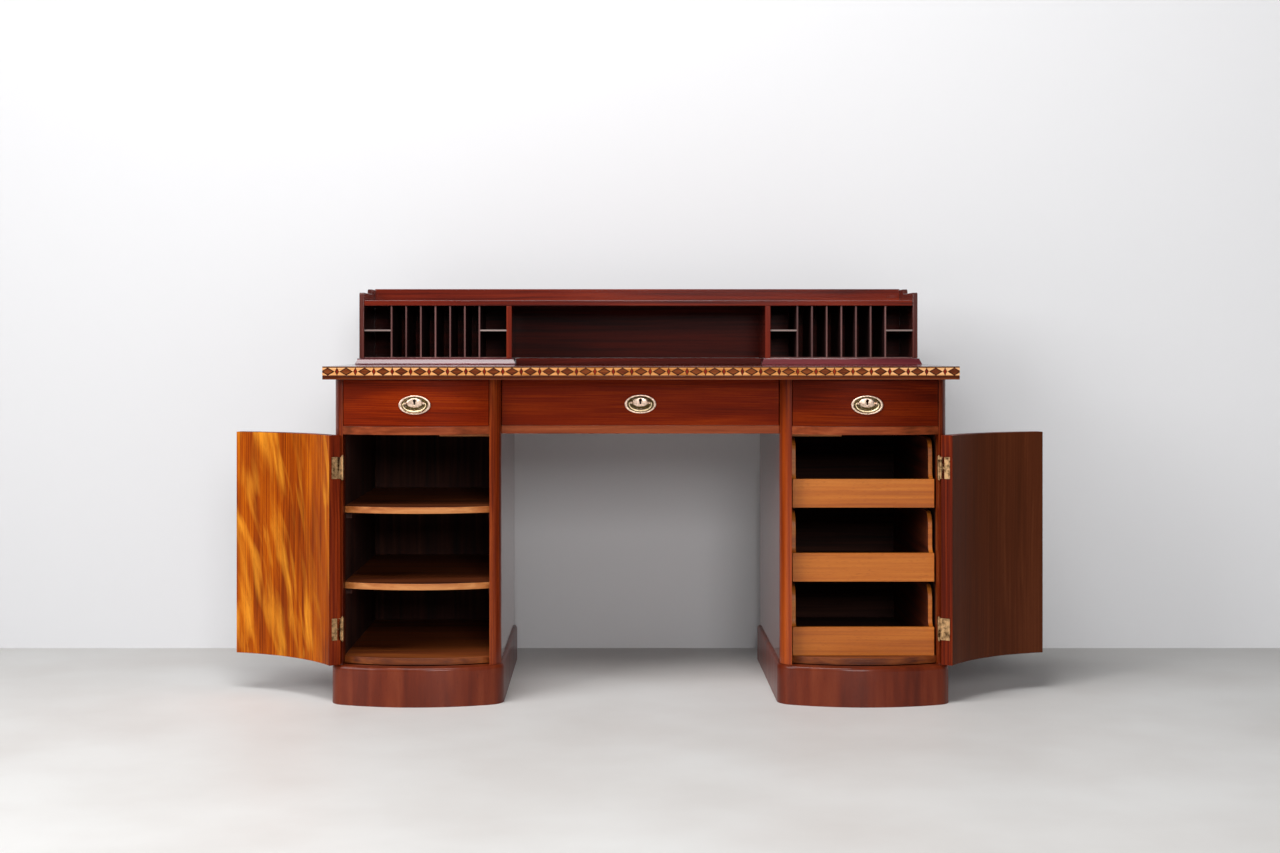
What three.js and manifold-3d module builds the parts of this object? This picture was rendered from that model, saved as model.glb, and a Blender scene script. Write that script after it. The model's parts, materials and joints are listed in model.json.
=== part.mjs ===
// Twin-pedestal writing desk with a pigeonhole gallery, in millimetres, +Z up, front towards -Y.
// Every size in the model comes from the named values below.
import * as THREE from 'three';
import { mergeVertices } from 'three/addons/utils/BufferGeometryUtils.js';
import Module from 'manifold-3d';

const wasm = await Module();
wasm.setup();

// Clearances shared by all pieces
const fit = 0.3;
const run = 1.5;
const overrun = 5;
const glueOverlap = 1;

// Desktop
const deskWidth = 1450;
const deskThickness = 30;
const deskHeight = 778;
const deskOverhang = 50;
const inlayHeight = 18;
const inlayDepth = 2;
const inlayDrop = 2.7;

// Carcass and pedestals
const carcassWidth = 1412;
const carcassDepth = 620;
const pedestalWidth = 383;
const outerPostWidth = 20.5;
const innerPostWidth = 25;
const postDepth = 45;
const bowRise = 33;
const sideThickness = 18;
const backThickness = 10;
const friezeHeight = 108;
const railHeight = 19;
const railDepth = 44;
const bedThickness = 12;
const guideHeight = 14;
const kneeholeRecess = 38;
const friezeBackThickness = 12;
const bottomThickness = 16;

// Plinth
const plinthHeight = 90;
const plinthProjection = 7;
const plinthWall = 22;
const plinthMouldingHeight = 10;
const plinthLedge = 5.5;

// Shelves of the left cupboard
const shelfThickness = 15;
const shelfRises = { lower: 187, upper: 363 };
const shelfSetback = 4;
const bearerWidth = 14;
const bearerHeight = 16;
const bearerFrontSetback = 24;

// Doors and their hinges
const doorThickness = 28;
const doorTopGap = 1.5;
const doorBottomGap = 2;
const openAngle = THREE.MathUtils.degToRad(217);
const pinStandOff = 4.8;
const barrelRadius = 3;
const pinRadius = 1.5;
const knuckleCount = 5;
const leafHeight = 50;
const leafWidth = 26;
const leafThickness = 1.8;
const tipHeight = 6;
const upperHingeDrop = 75;
const lowerHingeRise = 82;

// Lock-side batten under the rail of each pedestal
const battenLength = 118;
const battenHeight = 6;
const battenDepth = 12;

// Frieze drawers
const frontThickness = 22;
const centreFrontThickness = 20;
const boardThickness = 10;
const drawerBottomThickness = 7;
const drawerHeadroom = 20;
const rearClearance = 8;

// Trays of the right cupboard
const trayNames = ['bottom', 'middle', 'top'];
const trayFrontSetback = 31;
const traySideClearance = 4.5;
const trayHeadroom = 2.3;
const trayLip = 66;
const trayFrontThickness = 12;
const trayBottomThickness = 8;
const trayScoopRadius = 16;
const trayShoulderRadius = 36;
const runnerHeight = 9;
const runnerReach = 12;
const runnerFrontSetback = 60;

// Oval handle plates and bails
const plateWidth = 73;
const plateHeight = 44;
const plateDrop = 58.4;
const bossSpacing = 42;
const bossRaise = 3.4;
const bossRadius = 2.8;
const bossHeight = 7.4;
const axleHeight = 5.2;
const boreRadius = 1.8;
const boreOverrun = 1;
const bailWire = 1.5;
const bailWidth = 52;
const bailDrop = 18.5;
const bailEnd = 4.5;
const keyholeRadius = 2.2;
const keyholeSlot = 2;
const keyholeDrop = 7;
const keyholeRaise = 9.4;
const keyholeDepth = 12;
// Plate profile: share of the plate's half width, and height above its back
const plateProfileShares = [1, 1, 0.95, 0.88, 0.62, 0.5, 0.42, 0.26, 0];
const plateBack = 0;
const plateEdge = 1;
const plateRim = 2.2;
const plateDish = 1.2;
const plateShoulder = 1.7;
const plateBossEdge = 3.4;
const plateBossTop = 4.3;

// Gallery
const galleryWidth = 1398;
const galleryDepth = 228;
const galleryBackInset = 12;
const gallerySideThickness = 12;
const galleryFrontHeight = 180;
const galleryRearHeight = 193;
const galleryStepStart = 152;
const galleryStepRun = 14;
const galleryCornerRadius = 5;
const galleryBaseHeight = 15;
const galleryBaseFillet = 9;
const galleryBaseCove = 11;
const galleryBaseProjection = 10;
const galleryCoveProjection = 6.5;
const galleryTopProjection = 4;
const centreBayWidth = 635;
const partitionThickness = 13;
const centreFloorSetback = 10;
const topShelfUnderside = 147;
const topShelfThickness = 13.5;
const galleryBackThickness = 12;
const galleryBackHeight = 195;
const dividerThickness = 4;
const dividerCount = 7;
const dividerSetback = 4;
const wideCellWidth = 66;
const halfShelfRise = 68;
const insertFloorThickness = 3;

// Curve resolution
const bowSteps = 20;
const postSteps = 8;
const roundSteps = 5;
const barrelSides = 12;
const plateSides = 36;
const bailSteps = 18;

// Values that follow from the driving sizes
const openingWidth = pedestalWidth - outerPostWidth - innerPostWidth;
const bowRadius = (openingWidth ** 2 / 4 + bowRise ** 2) / (2 * bowRise);
const bowAngle = Math.asin(openingWidth / 2 / bowRadius);
const carcassHalf = carcassWidth / 2;
const kneeholeHalf = carcassHalf - pedestalWidth;
const deskUnderside = deskHeight - deskThickness;
const railTop = deskUnderside - friezeHeight;
const railUnderside = railTop - railHeight;
const boardFloor = plinthHeight + fit;
const bottomTop = boardFloor + bottomThickness;
const innerDepth = carcassDepth - backThickness;
const doorHeight = railUnderside - doorTopGap - plinthHeight - doorBottomGap;
const originY = (deskOverhang + carcassDepth) / 2 - deskOverhang;
const trayPitch = (railUnderside - bottomTop) / trayNames.length;
const trayWidth = openingWidth - 2 * traySideClearance;
const trayHeight = trayPitch - runnerHeight - fit - trayHeadroom;
const drawerBoxHeight = friezeHeight - drawerHeadroom;

// Materials
function finish(color, roughness, metalness = 0) {
  return new THREE.MeshStandardMaterial({ color, roughness, metalness });
}

const mahogany = finish(0x8a3614, 0.3);
const darkMahogany = finish(0x5f1d14, 0.32);
const plinthMahogany = finish(0x6a3222, 0.45);
const satinwood = finish(0xc8801c, 0.35);
const plainMahogany = finish(0x4a2a1c, 0.6);
const traywood = finish(0xc07034, 0.5);
const interior = finish(0x4a2414, 0.7);
const inlay = finish(0xd8984e, 0.35);
const brass = finish(0xd8c088, 0.3, 1);

// Solid helpers

function toSolid(geometry) {
  const bare = geometry.clone();
  bare.deleteAttribute('normal');
  bare.deleteAttribute('uv');
  const merged = mergeVertices(bare);
  return new wasm.Manifold(new wasm.Mesh({
    numProp: 3,
    vertProperties: Float32Array.from(merged.attributes.position.array),
    triVerts: Uint32Array.from(merged.index.array),
  }));
}

function toGeometry(solid) {
  const data = solid.getMesh();
  const geometry = new THREE.BufferGeometry();
  geometry.setAttribute('position', new THREE.BufferAttribute(data.vertProperties, 3));
  geometry.setIndex(new THREE.BufferAttribute(data.triVerts, 1));
  return geometry;
}

function join(first, ...others) {
  return toGeometry(others.reduce((sum, geometry) => sum.add(toSolid(geometry)), toSolid(first)));
}

function cut(first, ...others) {
  return toGeometry(others.reduce((rest, geometry) => rest.subtract(toSolid(geometry)), toSolid(first)));
}

function block(x0, x1, y0, y1, z0, z1) {
  const geometry = new THREE.BoxGeometry(Math.abs(x1 - x0), y1 - y0, z1 - z0);
  return geometry.translate((x0 + x1) / 2, (y0 + y1) / 2, (z0 + z1) / 2);
}

// Upright prism of a plan outline given as [x, y] pairs
function prism(outline, z0, z1) {
  const shape = new THREE.Shape(outline.map(([x, y]) => new THREE.Vector2(x, y)));
  const geometry = new THREE.ExtrudeGeometry(shape, { depth: z1 - z0, bevelEnabled: false, steps: 1 });
  return geometry.translate(0, 0, z0);
}

// Prism of an outline in the Y-Z plane, from x0 to x1
function sidewaysPrism(outline, x0, x1) {
  const shape = new THREE.Shape(outline.map(([y, z]) => new THREE.Vector2(y, z)));
  const geometry = new THREE.ExtrudeGeometry(shape, { depth: x1 - x0, bevelEnabled: false, steps: 1 });
  const axes = new THREE.Matrix4().makeBasis(
    new THREE.Vector3(0, 1, 0), new THREE.Vector3(0, 0, 1), new THREE.Vector3(1, 0, 0));
  return geometry.applyMatrix4(axes).translate(x0, 0, 0);
}

function rod(radius, z0, z1, sides = barrelSides) {
  const geometry = new THREE.CylinderGeometry(radius, radius, z1 - z0, sides);
  return geometry.rotateX(Math.PI / 2).translate(0, 0, (z0 + z1) / 2);
}

// Solid through rings of equal point count, counter-clockwise from above, lowest first.
// A looped loft joins its last ring to its first, and the others are capped.
function loft(rings, looped = false) {
  const count = rings[0].length;
  const positions = rings.flat().flat();
  const index = [];
  const bands = looped ? rings.length : rings.length - 1;
  for (let band = 0; band < bands; band += 1) {
    const low = band * count;
    const high = ((band + 1) % rings.length) * count;
    for (let i = 0; i < count; i += 1) {
      const next = (i + 1) % count;
      index.push(low + i, low + next, high + next, low + i, high + next, high + i);
    }
  }
  if (!looped) {
    const contour = rings[0].map(([x, y]) => new THREE.Vector2(x, y));
    const top = (rings.length - 1) * count;
    for (const [a, b, c] of THREE.ShapeUtils.triangulateShape(contour, [])) {
      index.push(a, c, b, top + a, top + b, top + c);
    }
  }
  const geometry = new THREE.BufferGeometry();
  geometry.setAttribute('position', new THREE.Float32BufferAttribute(positions, 3));
  geometry.setIndex(index);
  return geometry;
}

function arc(centreX, centreY, radius, from, to, steps) {
  const points = [];
  for (let i = 0; i <= steps; i += 1) {
    const angle = from + (to - from) * i / steps;
    points.push([centreX + radius * Math.cos(angle), centreY + radius * Math.sin(angle)]);
  }
  return points;
}

function mesh(name, geometry, material) {
  const piece = new THREE.Mesh(geometry, material);
  piece.name = name;
  return piece;
}

// Plan of a pedestal. u runs from its outer side towards the kneehole, y runs from its post fronts
// to its back. The group of a pedestal stands at its outer side, and side is -1 left and 1 right.

const toX = (side, u) => -side * u;
const toPlan = (side, outline) => outline.map(([u, y]) => [toX(side, u), y]);

// Bow of the pedestal front, moved back by inset, between two distances from the outer side
function bowLine(inset, from, to) {
  const radius = bowRadius - inset;
  const middle = outerPostWidth + openingWidth / 2;
  const points = [];
  for (let i = 0; i <= bowSteps; i += 1) {
    const u = from + (to - from) * i / bowSteps;
    points.push([u, bowRadius - bowRise - Math.sqrt(radius ** 2 - (u - middle) ** 2)]);
  }
  return points;
}

// Rounded outer face of a post of the given width, from its side to its front corner
function postRound(width, grow) {
  const radius = width / (1 - Math.sin(bowAngle));
  const centre = [radius, radius * Math.cos(bowAngle)];
  return arc(...centre, radius + grow, Math.PI, 1.5 * Math.PI - bowAngle, postSteps);
}

const mirrorInner = (points) => points.map(([u, y]) => [pedestalWidth - u, y]).reverse();

// Whole outline of a pedestal, grown outwards on its front and sides
function pedestalOutline(grow, back) {
  const middle = outerPostWidth + openingWidth / 2;
  const bow = arc(middle, bowRadius - bowRise, bowRadius + grow,
    1.5 * Math.PI - bowAngle, 1.5 * Math.PI + bowAngle, bowSteps).slice(1, -1);
  return [
    [-grow, back],
    ...postRound(outerPostWidth, grow),
    ...bow,
    ...mirrorInner(postRound(innerPostWidth, grow)),
    [pedestalWidth + grow, back],
  ];
}

// Plinth: a hollow frame with a rounded ledge along its top
function plinth(name, side) {
  const ring = (grow, back, z) => {
    const outline = toPlan(side, pedestalOutline(grow, back)).map(([x, y]) => [x, y, z]);
    return side < 0 ? outline : outline.reverse();
  };
  const rings = [ring(plinthProjection, carcassDepth, 0)];
  for (let i = 0; i <= roundSteps; i += 1) {
    const angle = i / roundSteps * Math.PI / 2;
    const grow = plinthProjection - plinthLedge * (1 - Math.cos(angle));
    const z = plinthHeight - plinthMouldingHeight * (1 - Math.sin(angle));
    rings.push(ring(grow, carcassDepth, z));
  }
  rings.push(ring(-plinthWall, carcassDepth - plinthWall, plinthHeight));
  rings.push(ring(-plinthWall, carcassDepth - plinthWall, 0));
  return mesh(name, loft(rings, true), plinthMahogany);
}

// Corner post with pockets for the hinge leaves where the door hangs on it
function post(name, side, inner) {
  const width = inner ? innerPostWidth : outerPostWidth;
  let outline = [[0, postDepth], ...postRound(width, 0), [width, postDepth]];
  if (inner) {
    outline = mirrorInner(outline);
  }
  const body = prism(toPlan(side, outline), boardFloor, deskUnderside - fit);
  if (inner) {
    return mesh(name, body, mahogany);
  }
  const pockets = hingeHeights().map((z) => block(
    toX(side, width - leafThickness - fit), toX(side, width + overrun),
    -overrun, leafWidth - pinStandOff + fit,
    z - leafHeight / 2 - fit, z + leafHeight / 2 + fit));
  return mesh(name, cut(body, ...pockets), mahogany);
}

// Side panel behind a post, with the bearers or runners that it carries
function sidePanel(name, side, inner, strips) {
  const from = inner ? pedestalWidth - sideThickness : 0;
  const face = inner ? from : sideThickness;
  const panel = block(toX(side, from), toX(side, from + sideThickness),
    postDepth + fit, carcassDepth, boardFloor, deskUnderside - fit);
  const inward = inner ? -1 : 1;
  const pieces = strips.map(({ reach, front, top, height }) => block(
    toX(side, face - inward * glueOverlap), toX(side, face + inward * reach),
    front, innerDepth - fit, top - height, top));
  return mesh(name, join(panel, ...pieces), mahogany);
}

function bearers() {
  return Object.values(shelfRises).map((rise) => ({
    reach: bearerWidth,
    front: postDepth + bearerFrontSetback,
    top: plinthHeight + rise - shelfThickness - fit,
    height: bearerHeight,
  }));
}

function runners(inner) {
  const panelGap = (inner ? innerPostWidth : outerPostWidth) - sideThickness;
  return trayNames.slice(1).map((name, i) => ({
    reach: panelGap + traySideClearance + runnerReach,
    front: postDepth + runnerFrontSetback,
    top: bottomTop + (i + 1) * trayPitch,
    height: runnerHeight,
  }));
}

// Board between the posts and, behind them, between the side panels
function fittedBoard(side, front, z0, z1) {
  const left = outerPostWidth + fit;
  const right = pedestalWidth - innerPostWidth - fit;
  const step = postDepth + fit;
  const wideLeft = sideThickness + fit;
  const wideRight = pedestalWidth - sideThickness - fit;
  const back = innerDepth - fit;
  const outline = [
    ...bowLine(front, left, right),
    [right, step], [wideRight, step], [wideRight, back],
    [wideLeft, back], [wideLeft, step], [left, step],
  ];
  return prism(toPlan(side, outline), z0, z1);
}

function bottomBoard(name, side) {
  return mesh(name, fittedBoard(side, doorThickness + run, boardFloor, bottomTop), mahogany);
}

function shelf(name, side, rise) {
  const top = plinthHeight + rise;
  const inset = doorThickness + run + shelfSetback;
  return mesh(name, fittedBoard(side, inset, top - shelfThickness, top), mahogany);
}

// Bowed rail over the door, with the batten under its lock-side end that stops the door
function rail(name, side) {
  const from = outerPostWidth + fit;
  const to = pedestalWidth - innerPostWidth - fit;
  const outline = [...bowLine(0, from, to), [to, railDepth], [from, railDepth]];
  const body = prism(toPlan(side, outline), railUnderside, railTop);
  const battenFront = railDepth - battenDepth;
  const batten = block(toX(side, to - battenLength), toX(side, to),
    battenFront, railDepth, railUnderside - battenHeight, railUnderside + battenHeight);
  return mesh(name, join(body, batten), mahogany);
}

// Bed that a side drawer slides on, with a guide strip along each side
function drawerBed(name, side) {
  const left = sideThickness + fit;
  const right = pedestalWidth - sideThickness - fit;
  const front = postDepth + fit;
  const back = innerDepth - fit;
  const bed = block(toX(side, left), toX(side, right), front, back, railTop - bedThickness, railTop);
  const guides = [[left, outerPostWidth], [pedestalWidth - innerPostWidth, right]].map(([from, to]) =>
    block(toX(side, from), toX(side, to), front, back, railTop - bedThickness, railTop + guideHeight));
  return mesh(name, join(bed, ...guides), interior);
}

function pedestalBack(name, side) {
  const body = block(toX(side, sideThickness + fit), toX(side, pedestalWidth - sideThickness - fit),
    innerDepth, carcassDepth, boardFloor, deskUnderside - fit);
  return mesh(name, body, interior);
}

// Hinges. The local origin is the pin's axis, at mid height of the hinge.

const hingeHeights = () => [
  plinthHeight + doorBottomGap + lowerHingeRise,
  railUnderside - doorTopGap - upperHingeDrop,
];

// Leaf lying along a direction from the pin, thick on the side of its wood
function leafPlate(alongX, alongY, woodX, woodY, grow) {
  const near = [0, 0];
  const far = [alongX * (leafWidth + grow), alongY * (leafWidth + grow)];
  const depth = leafThickness + grow;
  const outline = [near, far, [far[0] + woodX * depth, far[1] + woodY * depth],
    [woodX * depth, woodY * depth]];
  return prism(outline, -leafHeight / 2 - grow, leafHeight / 2 + grow);
}

function knuckleRange(index) {
  const length = leafHeight / knuckleCount;
  const low = -leafHeight / 2 + index * length;
  return [low + fit / 2, low + length - fit / 2];
}

function hingeLeaf(name, plate, ownFirst) {
  let body = plate;
  for (let i = 0; i < knuckleCount; i += 1) {
    const [low, high] = knuckleRange(i);
    const own = (i % 2 === 0) === ownFirst;
    body = own
      ? join(body, rod(barrelRadius, low, high))
      : cut(body, rod(barrelRadius + fit, low - fit, high + fit));
  }
  return mesh(name, body, brass);
}

// Leaf on the post, which carries the pin and its two tips
function postLeaf(name, side) {
  const leaf = hingeLeaf(name, leafPlate(0, 1, side, 0, 0), true);
  const half = leafHeight / 2;
  const pin = rod(pinRadius, -half, half);
  const profile = [[0, 0], [pinRadius, 0], [barrelRadius, tipHeight / 3],
    [pinRadius, 2 * tipHeight / 3], [0, tipHeight]].map(([r, y]) => new THREE.Vector2(r, y));
  const tip = (turn, z) =>
    new THREE.LatheGeometry(profile, barrelSides).rotateX(turn).translate(0, 0, z);
  const inset = pinRadius / 2;
  leaf.geometry = join(leaf.geometry, pin,
    tip(Math.PI / 2, half - inset), tip(-Math.PI / 2, inset - half));
  return leaf;
}

function doorLeaf(name, side) {
  const along = [-side * Math.sin(bowAngle), Math.cos(bowAngle)];
  const wood = [-side * Math.cos(bowAngle), -Math.sin(bowAngle)];
  const leaf = hingeLeaf(name, leafPlate(...along, ...wood, 0), false);
  leaf.geometry = cut(leaf.geometry, rod(pinRadius + fit, -leafHeight, leafHeight));
  return leaf;
}

// Bowed door, closed, with the pin's axis at the origin and its foot at height zero
function doorPanel(name, side, material) {
  const centre = [openingWidth / 2, bowRadius - bowRise + pinStandOff];
  const edge = pinStandOff * Math.sin(bowAngle);
  const ends = (radius) => [
    1.5 * Math.PI - bowAngle + Math.asin(edge / radius),
    1.5 * Math.PI + bowAngle - Math.asin(run / radius),
  ];
  const innerRadius = bowRadius - doorThickness;
  const outer = arc(...centre, bowRadius, ...ends(bowRadius), bowSteps);
  const inner = arc(...centre, innerRadius, ...ends(innerRadius), bowSteps).reverse();
  const body = prism(toPlan(side, [...outer, ...inner]), 0, doorHeight);
  const along = [-side * Math.sin(bowAngle), Math.cos(bowAngle)];
  const wood = [-side * Math.cos(bowAngle), -Math.sin(bowAngle)];
  const pockets = hingeHeights().map((z) =>
    leafPlate(...along, ...wood, fit).translate(0, 0, z - plinthHeight - doorBottomGap));
  return mesh(name, cut(body, ...pockets), material);
}

// Door with its leaves, turned open about the pin until it rests against the round of the post
function hungDoor(prefix, side, material) {
  const door = new THREE.Group();
  door.position.set(toX(side, outerPostWidth), -pinStandOff, plinthHeight + doorBottomGap);
  door.rotation.z = side * openAngle;
  door.add(doorPanel(`${prefix}_door`, side, material));
  hingeHeights().forEach((z, i) => {
    const leaf = doorLeaf(`${prefix}_door_hinge_leaf_${i ? 'upper' : 'lower'}`, side);
    leaf.position.z = z - plinthHeight - doorBottomGap;
    door.add(leaf);
  });
  return door;
}

function postLeaves(prefix, side) {
  return hingeHeights().map((z, i) => {
    const leaf = postLeaf(`${prefix}_post_hinge_leaf_${i ? 'upper' : 'lower'}`, side);
    leaf.position.set(toX(side, outerPostWidth), -pinStandOff, z);
    return leaf;
  });
}

// Handles. The local origin is the centre of the plate's back, and heights go towards -Y.

function keyhole(depth) {
  const round = rod(keyholeRadius, -overrun, depth).rotateX(-Math.PI / 2);
  const slot = block(-keyholeSlot / 2, keyholeSlot / 2, -overrun, depth, -keyholeDrop, 0);
  return join(round, slot).translate(0, 0, keyholeRaise);
}

function handlePlate(name) {
  const heights = [plateBack, plateEdge, plateRim, plateDish, plateDish, plateShoulder,
    plateBossEdge, plateBossTop, plateBossTop];
  const profile = [new THREE.Vector2(0, plateBack)];
  plateProfileShares.forEach((share, i) => profile.push(new THREE.Vector2(share, heights[i])));
  const dish = new THREE.LatheGeometry(profile, plateSides);
  dish.scale(plateWidth / 2, 1, plateHeight / 2).rotateX(Math.PI);
  const bosses = [-1, 1].map((end) => rod(bossRadius, plateDish / 2, bossHeight)
    .rotateX(Math.PI / 2).translate(end * bossSpacing / 2, 0, bossRaise));
  const boreReach = bossRadius + boreOverrun;
  const bores = [-1, 1].map((end) => rod(boreRadius, -boreReach, boreReach)
    .rotateY(Math.PI / 2).translate(end * bossSpacing / 2, -axleHeight, bossRaise));
  const body = join(dish, ...bosses);
  const hole = keyhole(overrun).translate(0, -overrun, 0);
  return mesh(name, cut(body, ...bores, hole), brass);
}

// Bail hanging from the plate's bosses, with its axle at the origin
function bail(name) {
  const half = bailWidth / 2;
  const path = [new THREE.Vector3(-half, 0, bailWire)];
  for (let i = 0; i <= bailSteps; i += 1) {
    const angle = Math.PI * i / bailSteps;
    path.push(new THREE.Vector3(-half * Math.cos(angle), 0, -bailDrop * Math.sin(angle)));
  }
  path.push(new THREE.Vector3(half, 0, bailWire));
  const circle = arc(0, 0, bailWire, 0, 2 * Math.PI, barrelSides).slice(0, -1);
  const section = new THREE.Shape(circle.map(([x, y]) => new THREE.Vector2(x, y)));
  const loop = new THREE.ExtrudeGeometry(section, {
    steps: 2 * bailSteps, extrudePath: new THREE.CatmullRomCurve3(path), bevelEnabled: false,
  });
  const inner = bossSpacing / 2 - bailEnd / 2;
  const ends = [[-half, -inner], [inner, half]].map(([from, to]) =>
    rod(bailWire, from, to).rotateY(Math.PI / 2));
  return mesh(name, join(loop, ...ends), brass);
}

// Plate and bail on a drawer front whose face is at the given depth
function handle(prefix, x, faceY) {
  const z = deskUnderside - plateDrop;
  const plate = handlePlate(`${prefix}_handle_plate`);
  plate.position.set(x, faceY - fit, z);
  const ring = bail(`${prefix}_bail`);
  ring.position.set(x, faceY - fit - axleHeight, z + bossRaise);
  return [plate, ring];
}

// Drawer box: its plan outline runs behind the front, and its inside is open towards the front
function drawerBox(outline, inside, z0) {
  const body = prism(outline, z0, z0 + drawerBoxHeight);
  const cavity = prism(inside, z0 + drawerBottomThickness, z0 + drawerBoxHeight + overrun);
  return cut(body, cavity);
}

function sideDrawer(prefix, side) {
  const from = outerPostWidth + run;
  const to = pedestalWidth - innerPostWidth - run;
  const bottom = railTop + fit;
  const back = innerDepth - rearClearance;
  const outer = bowLine(0, from, to);
  const inner = bowLine(frontThickness, from, to).reverse();
  const middle = toX(side, outerPostWidth + openingWidth / 2);
  const hole = keyhole(keyholeDepth).translate(middle, -bowRise, deskUnderside - plateDrop);
  const front = cut(prism(toPlan(side, [...outer, ...inner]), bottom, deskUnderside - run), hole);
  const start = bowLine(frontThickness + fit, from, to);
  const boxOutline = [...start, [to, back], [from, back]];
  const innerFrom = from + boardThickness;
  const innerTo = to - boardThickness;
  const innerBack = back - boardThickness;
  const inside = [...bowLine(frontThickness - overrun, innerFrom, innerTo),
    [innerTo, innerBack], [innerFrom, innerBack]];
  const box = drawerBox(toPlan(side, boxOutline), toPlan(side, inside), bottom);
  return [
    mesh(`${prefix}_drawer_front`, front, mahogany),
    mesh(`${prefix}_drawer_box`, box, interior),
    ...handle(prefix, middle, -bowRise),
  ];
}

function centreDrawer() {
  const half = kneeholeHalf - run;
  const bottom = railTop + fit;
  const faceY = kneeholeRecess;
  const rear = faceY + centreFrontThickness;
  const back = carcassDepth - friezeBackThickness - rearClearance;
  const hole = keyhole(keyholeDepth).translate(0, faceY, deskUnderside - plateDrop);
  const front = cut(block(-half, half, faceY, rear, bottom, deskUnderside - run), hole);
  const plan = (reach, y0, y1) => [[-reach, y0], [reach, y0], [reach, y1], [-reach, y1]];
  const box = drawerBox(plan(half, rear + fit, back),
    plan(half - boardThickness, rear - overrun, back - boardThickness), bottom);
  return [
    mesh('centre_drawer_front', front, mahogany),
    mesh('centre_drawer_box', box, interior),
    ...handle('centre', 0, faceY),
  ];
}

// Rail, bed and back of the frieze over the kneehole
function kneeholeFrieze() {
  const half = kneeholeHalf - fit;
  const railBack = kneeholeRecess + railDepth;
  const backFront = carcassDepth - friezeBackThickness;
  return [
    mesh('centre_rail', block(-half, half, kneeholeRecess, railBack, railUnderside, railTop), mahogany),
    mesh('centre_drawer_bed', block(-half, half, railBack + fit, backFront - fit,
      railTop - bedThickness, railTop), interior),
    mesh('centre_frieze_back', block(-half, half, backFront, carcassDepth,
      railUnderside, deskUnderside - fit), mahogany),
  ];
}

// Tray: a box with a low front board and tall sides that sweep down to it
function tray(name, side, level) {
  const from = outerPostWidth + traySideClearance;
  const to = from + trayWidth;
  const x0 = Math.min(toX(side, from), toX(side, to));
  const x1 = x0 + trayWidth;
  const depth = innerDepth - rearClearance - trayFrontSetback;
  const wall = boardThickness;
  const body = block(x0, x1, 0, depth, 0, trayHeight);
  const cavity = block(x0 + wall, x1 - wall, trayFrontThickness, depth - wall,
    trayBottomThickness, trayHeight + overrun);
  const edgeY = trayFrontThickness + trayScoopRadius;
  const scoop = arc(trayFrontThickness, trayLip + trayScoopRadius, trayScoopRadius,
    1.5 * Math.PI, 2 * Math.PI, roundSteps);
  const radius = Math.min(trayShoulderRadius, (trayHeight - trayLip) / 2);
  const shoulder = arc(edgeY + radius, trayHeight - radius, radius, Math.PI, Math.PI / 2, roundSteps);
  const frontCut = sidewaysPrism([
    [-overrun, trayLip], ...scoop, ...shoulder,
    [edgeY + radius, trayHeight + overrun], [-overrun, trayHeight + overrun],
  ], x0 - overrun, x1 + overrun);
  const piece = mesh(name, cut(body, cavity, frontCut), traywood);
  piece.position.set(0, trayFrontSetback, bottomTop + level * trayPitch + fit);
  return piece;
}

// One pedestal with everything that stands in it
function pedestal(prefix, side, strips, doorMaterial, contents) {
  const group = new THREE.Group();
  group.position.x = side * carcassHalf;
  group.add(
    plinth(`${prefix}_plinth`, side),
    bottomBoard(`${prefix}_bottom_board`, side),
    post(`${prefix}_outer_post`, side, false),
    post(`${prefix}_inner_post`, side, true),
    sidePanel(`${prefix}_outer_side`, side, false, strips(false)),
    sidePanel(`${prefix}_inner_side`, side, true, strips(true)),
    pedestalBack(`${prefix}_back`, side),
    rail(`${prefix}_rail`, side),
    drawerBed(`${prefix}_drawer_bed`, side),
    hungDoor(prefix, side, doorMaterial),
    ...postLeaves(prefix, side),
    ...sideDrawer(prefix, side),
    ...contents,
  );
  return group;
}

// Desktop with a groove along its front and end edges, and the inlaid band that fills the groove
function desktop() {
  const half = deskWidth / 2;
  const top = block(-half, half, -deskOverhang, carcassDepth, deskUnderside, deskHeight);
  const bandTop = deskHeight - inlayDrop;
  const bandLow = bandTop - inlayHeight;
  const ring = (depth, grow, z0, z1) => cut(
    block(-half - grow, half + grow, -deskOverhang - grow, carcassDepth + grow, z0, z1),
    block(-half + depth, half - depth, -deskOverhang + depth, carcassDepth + overrun,
      z0 - overrun, z1 + overrun));
  return [
    mesh('desktop', cut(top, ring(inlayDepth, overrun, bandLow, bandTop)), mahogany),
    mesh('inlay_band', ring(inlayDepth - fit, 0, bandLow + fit, bandTop - fit), inlay),
  ];
}

// Gallery. Its local origin is on the desktop, in the middle of the gallery's front.

function galleryBase(name, side) {
  const outer = galleryWidth / 2;
  const inner = centreBayWidth / 2;
  const ring = (grow, z) => {
    const x0 = side < 0 ? -outer - grow : inner - grow;
    const x1 = side < 0 ? -inner + grow : outer + grow;
    return [[x0, -grow, z], [x1, -grow, z], [x1, galleryDepth, z], [x0, galleryDepth, z]];
  };
  const rings = [
    ring(galleryBaseProjection, fit),
    ring(galleryBaseProjection, galleryBaseFillet),
    ring(galleryCoveProjection, galleryBaseCove),
    ring(galleryTopProjection, galleryBaseHeight),
  ];
  return mesh(name, loft(rings), darkMahogany);
}

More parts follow.
